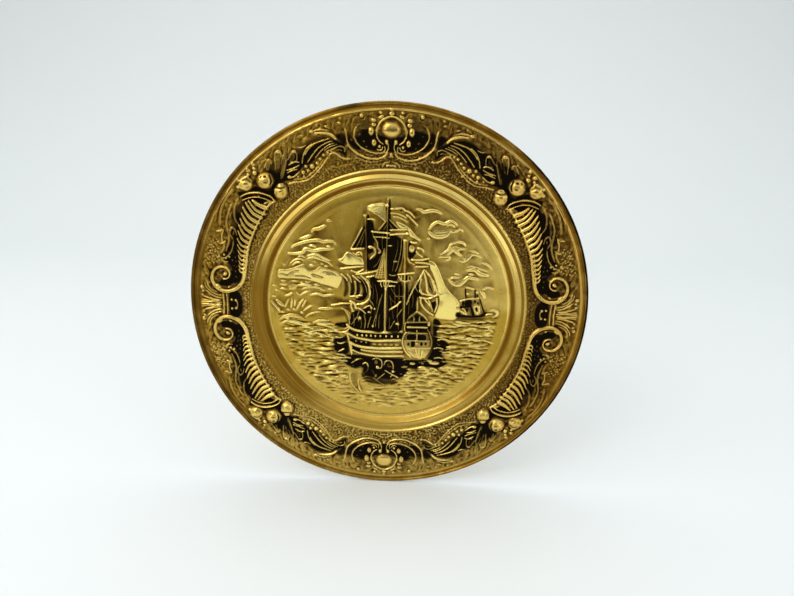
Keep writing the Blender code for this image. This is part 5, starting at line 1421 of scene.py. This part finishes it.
tarnish = scaled(rubbed_and_lit, between(radius, 93, 108, -1.15, -0.92), 1.0)
tarnish = scaled(between(clouds, 0.3, 0.7), 0.35, tarnish)
tarnish = scaled(between(blotches, 0.35, 0.7), 0.3, tarnish)
to_right = times(between(split.outputs["X"], -30, 80), between(split.outputs["Z"], -8, 6))
tarnish = math_node("SUBTRACT", tarnish, scaled(to_right, 0.5, 0.28), clamp=True)
tarnish = times(tarnish, scaled(at_foot, -0.26, 1.0))
GOLD, OLIVE, GLINT_GOLD = (0.92, 0.675, 0.19), (0.495, 0.308, 0.039), (0.99, 0.81, 0.23)
COPPER, SPECK, BRUSHED = (0.50, 0.27, 0.045), (0.20, 0.11, 0.018), (0.15, 0.07, 0.008)
DARK_GROUND, BROWN_GROUND, SHADE_AND_TARNISH_BROWN = (0.17, 0.086, 0.012), (0.28, 0.143, 0.015), (0.25, 0.132, 0.014)
DULL, SMEARED = (0.8, 0.71, 0.57), (0.135, 0.08, 0.017)
GRIME, WAX = (0.075, 0.034, 0.005), (0.009, 0.006, 0.003)
colour = mix(tarnish, GOLD, OLIVE)
# painted highlight: the most rubbed lines in the middle of the well are painted a paler gold, standing in
# for their white glints
painted_glint = times(between(rubbed_and_lit, 0.8, 1.0), between(radius, 80, 92, 0.6, 0))
colour = mix(painted_glint, colour, GLINT_GOLD)
coppery = most(spot(-60, 48, 42), spot(56, 66, 34))
coppery = times(coppery, between(clouds, 0.38, 0.62))
coppery = times(coppery, math_node("SUBTRACT", 1.0, rubbed_and_lit, clamp=True))
colour = mix(times(coppery, 0.5), colour, COPPER)
speckled = scaled(most(rubbed_and_lit, crown), -0.32, 0.34)
speckled = times(between(specks, 0.56, 0.72), speckled, clamp=True)
colour = mix(speckled, colour, SPECK)
by_well = times(ring(105.6, 107.4, 114, 126), scaled(left_half, -0.24, 0.42))
matted = times(matted, math_node("ADD", by_well, between(rightward, -0.2, 0.6, 0.55, 0.9)), clamp=True)
matted = times(matted, scaled(at_foot, -0.4, 1.0))
inside_horn = times(ring(105.6, 107, 110.8, 112.8), between(rightward, 0.3, 0.7, 0, 0.75))
matted = most(matted, inside_horn)
ground = mix(left_half, DARK_GROUND, BROWN_GROUND)
colour = mix(matted, colour, ground)
brushed = times(between(noise(330, 5, 0.7), 0.44, 0.62), ring(112, 124, 144, 147))
brushed = times(brushed, times(matted, 1.5), clamp=True)
colour = mix(brushed, colour, BRUSHED)
colour = mix(browned_and_shaded, colour, SHADE_AND_TARNISH_BROWN)
# the border was never polished as far as the well, and it is darker towards the right and less dark at the
# foot
dull = times(between(radius, 106, 110), between(rightward, -0.6, 0.6, 0.5, 1.0))
dull = times(dull, scaled(at_foot, -0.7, 1.0))
colour = mix(dull, colour, DULL, "MULTIPLY")
# near the black the lines are brown with smeared wax, all but their very tops
smear = times(between(smear, 0.05, 0.5), scaled(rubbed_and_lit, -1.1, 1.05, clamp=True))
colour = mix(smear, colour, SMEARED)
grime = scaled(between(blotches, 0.3, 0.75), 0.5, 0.55)
grime = times(between(sunk, 0.0, 0.28), grime, clamp=True)
pit_grime = times(pits, scaled(left_half, -0.75, 1.35))
grime = most(grime, pit_grime, clamp=True)
grime = most(grime, times(rim_brown, times(at_left, 0.7)))
colour = mix(grime, colour, GRIME)
roll_black = times(between(radius, 149.8, 151.2), times(at_right, 0.8))
waxed = math_node("ADD", wax_left, times(roll_black, front_side))
waxed = scaled(math_node("SUBTRACT", blotches, 0.5), 0.5, waxed)
waxed = between(scaled(sunk, 0.6, waxed), 0.18, 0.85)
colour = mix(waxed, colour, WAX)
links.new(colour, shader.inputs["Base Color"])
rough = scaled(rubbed_and_lit, -0.12, 0.3)
rough = scaled(between(blotches, 0.35, 0.7), 0.09, rough)
rough = scaled(most(waxed, grime), 0.2, rough)
links.new(rough, shader.inputs["Roughness"])
bump = nodes.new("ShaderNodeBump")
bump.inputs["Strength"].default_value = 0.3
bump.inputs["Distance"].default_value = 0.0002
skin = scaled(grain, 0.4, specks)
skin = times(skin, scaled(math_node("ADD", rubbed_and_lit, crown), -1.5, 1.0, clamp=True))
links.new(scaled(pits, -2.6, skin), bump.inputs["Height"])
links.new(bump.outputs["Normal"], shader.inputs["Normal"])

mesh.materials.append(brass)
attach(plate, "root")
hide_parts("plate")

# ---------------------------------------------------------------- the table and the backdrop
# The plate stands on plain white card, which is no part of it. The card lies flat as a table and sweeps up
# behind the plate into a wall.

paper = bpy.data.materials.new("white_card")
paper.use_nodes = True
card = paper.node_tree.nodes["Principled BSDF"]
card.inputs["Base Color"].default_value = (0.79, 0.815, 0.805, 1)
card.inputs["Roughness"].default_value = 0.85
card.inputs["Specular IOR Level"].default_value = 0.15
table_top = cad_low.z
sweep = [(-1.0, 0.0), (0.8, 0.0)]
sweep += [(0.8 + 0.9 * sin(a), 0.9 - 0.9 * cos(a)) for a in np.radians(np.arange(6, 91, 6))]
sweep += [(1.7, 3.2)]
backdrop = bpy.data.meshes.new("backdrop")
backdrop.from_pydata([(x, y, table_top + z) for x in (-3, 3) for y, z in sweep], [],
                     [(k, k + len(sweep), k + len(sweep) + 1, k + 1) for k in range(len(sweep) - 1)])
backdrop.polygons.foreach_set("use_smooth", [True] * len(backdrop.polygons))
backdrop.materials.append(paper)
backdrop = bpy.data.objects.new("backdrop", backdrop)
bpy.context.scene.collection.objects.link(backdrop)

# ---------------------------------------------------------------- light and camera
# A soft window lights the plate from the upper left, with a smaller lamp beside it, a pale wall at the right
# and the ceiling behind. The room is dim low down and bright overhead.


def soft_box(name, at, aim, size, power):
    lamp = bpy.data.lights.new(name, "AREA")
    lamp.shape = "RECTANGLE"
    lamp.size, lamp.size_y = size
    lamp.energy = power
    lamp.color = (1.0, 0.995, 0.98)
    box = bpy.data.objects.new(name, lamp)
    box.location = at
    box.rotation_euler = (Vector(aim) - Vector(at)).to_track_quat("-Z", "Y").to_euler()
    bpy.context.scene.collection.objects.link(box)


soft_box("window", at=(-1.15, -0.92, 0.7), aim=(0, 0, 0), size=(1.5, 1.5), power=8.2)
soft_box("lamp", at=(-0.62, -0.95, 1.0), aim=(0, 0, 0), size=(0.5, 0.5), power=2.7)
soft_box("bright_wall", at=(1.15, -0.95, 0.26), aim=(0, 0, 0), size=(1.1, 0.75), power=2.6)
soft_box("ceiling", at=(0, 0.2, 1.9), aim=(0, 0.9, 0.3), size=(2.4, 1.2), power=13)
room = bpy.data.worlds.new("room")
room.use_nodes = True
air, wires = room.node_tree.nodes, room.node_tree.links
heading = air.new("ShaderNodeSeparateXYZ")
wires.new(air.new("ShaderNodeTexCoord").outputs["Generated"], heading.inputs[0])
fade = air.new("ShaderNodeMapRange")
for name, number in (("From Min", 0.0), ("From Max", 0.6), ("To Min", 0.12), ("To Max", 0.92)):
    fade.inputs[name].default_value = number
wires.new(heading.outputs["Z"], fade.inputs["Value"])
air["Background"].inputs["Color"].default_value = (0.93, 0.97, 1.0, 1)
wires.new(fade.outputs["Result"], air["Background"].inputs["Strength"])
bpy.context.scene.world = room
bpy.context.scene.view_settings.view_transform = "Standard"

lens = bpy.data.cameras.new("camera")
lens.lens = 26.9
lens.sensor_width = 36
lens.clip_start = 0.01
camera = bpy.data.objects.new("camera", lens)
camera.location = (0.0187, -0.4389, 0.1435)
forward, upward = Vector((-0.0257, 0.955, -0.2955)).normalized(), Vector((-0.036, 0.2945, 0.955))
sideways = forward.cross(upward).normalized()
upward = sideways.cross(forward)
camera.rotation_euler = Matrix((sideways, upward, -forward)).transposed().to_euler()
bpy.context.scene.collection.objects.link(camera)
bpy.context.scene.camera = camera
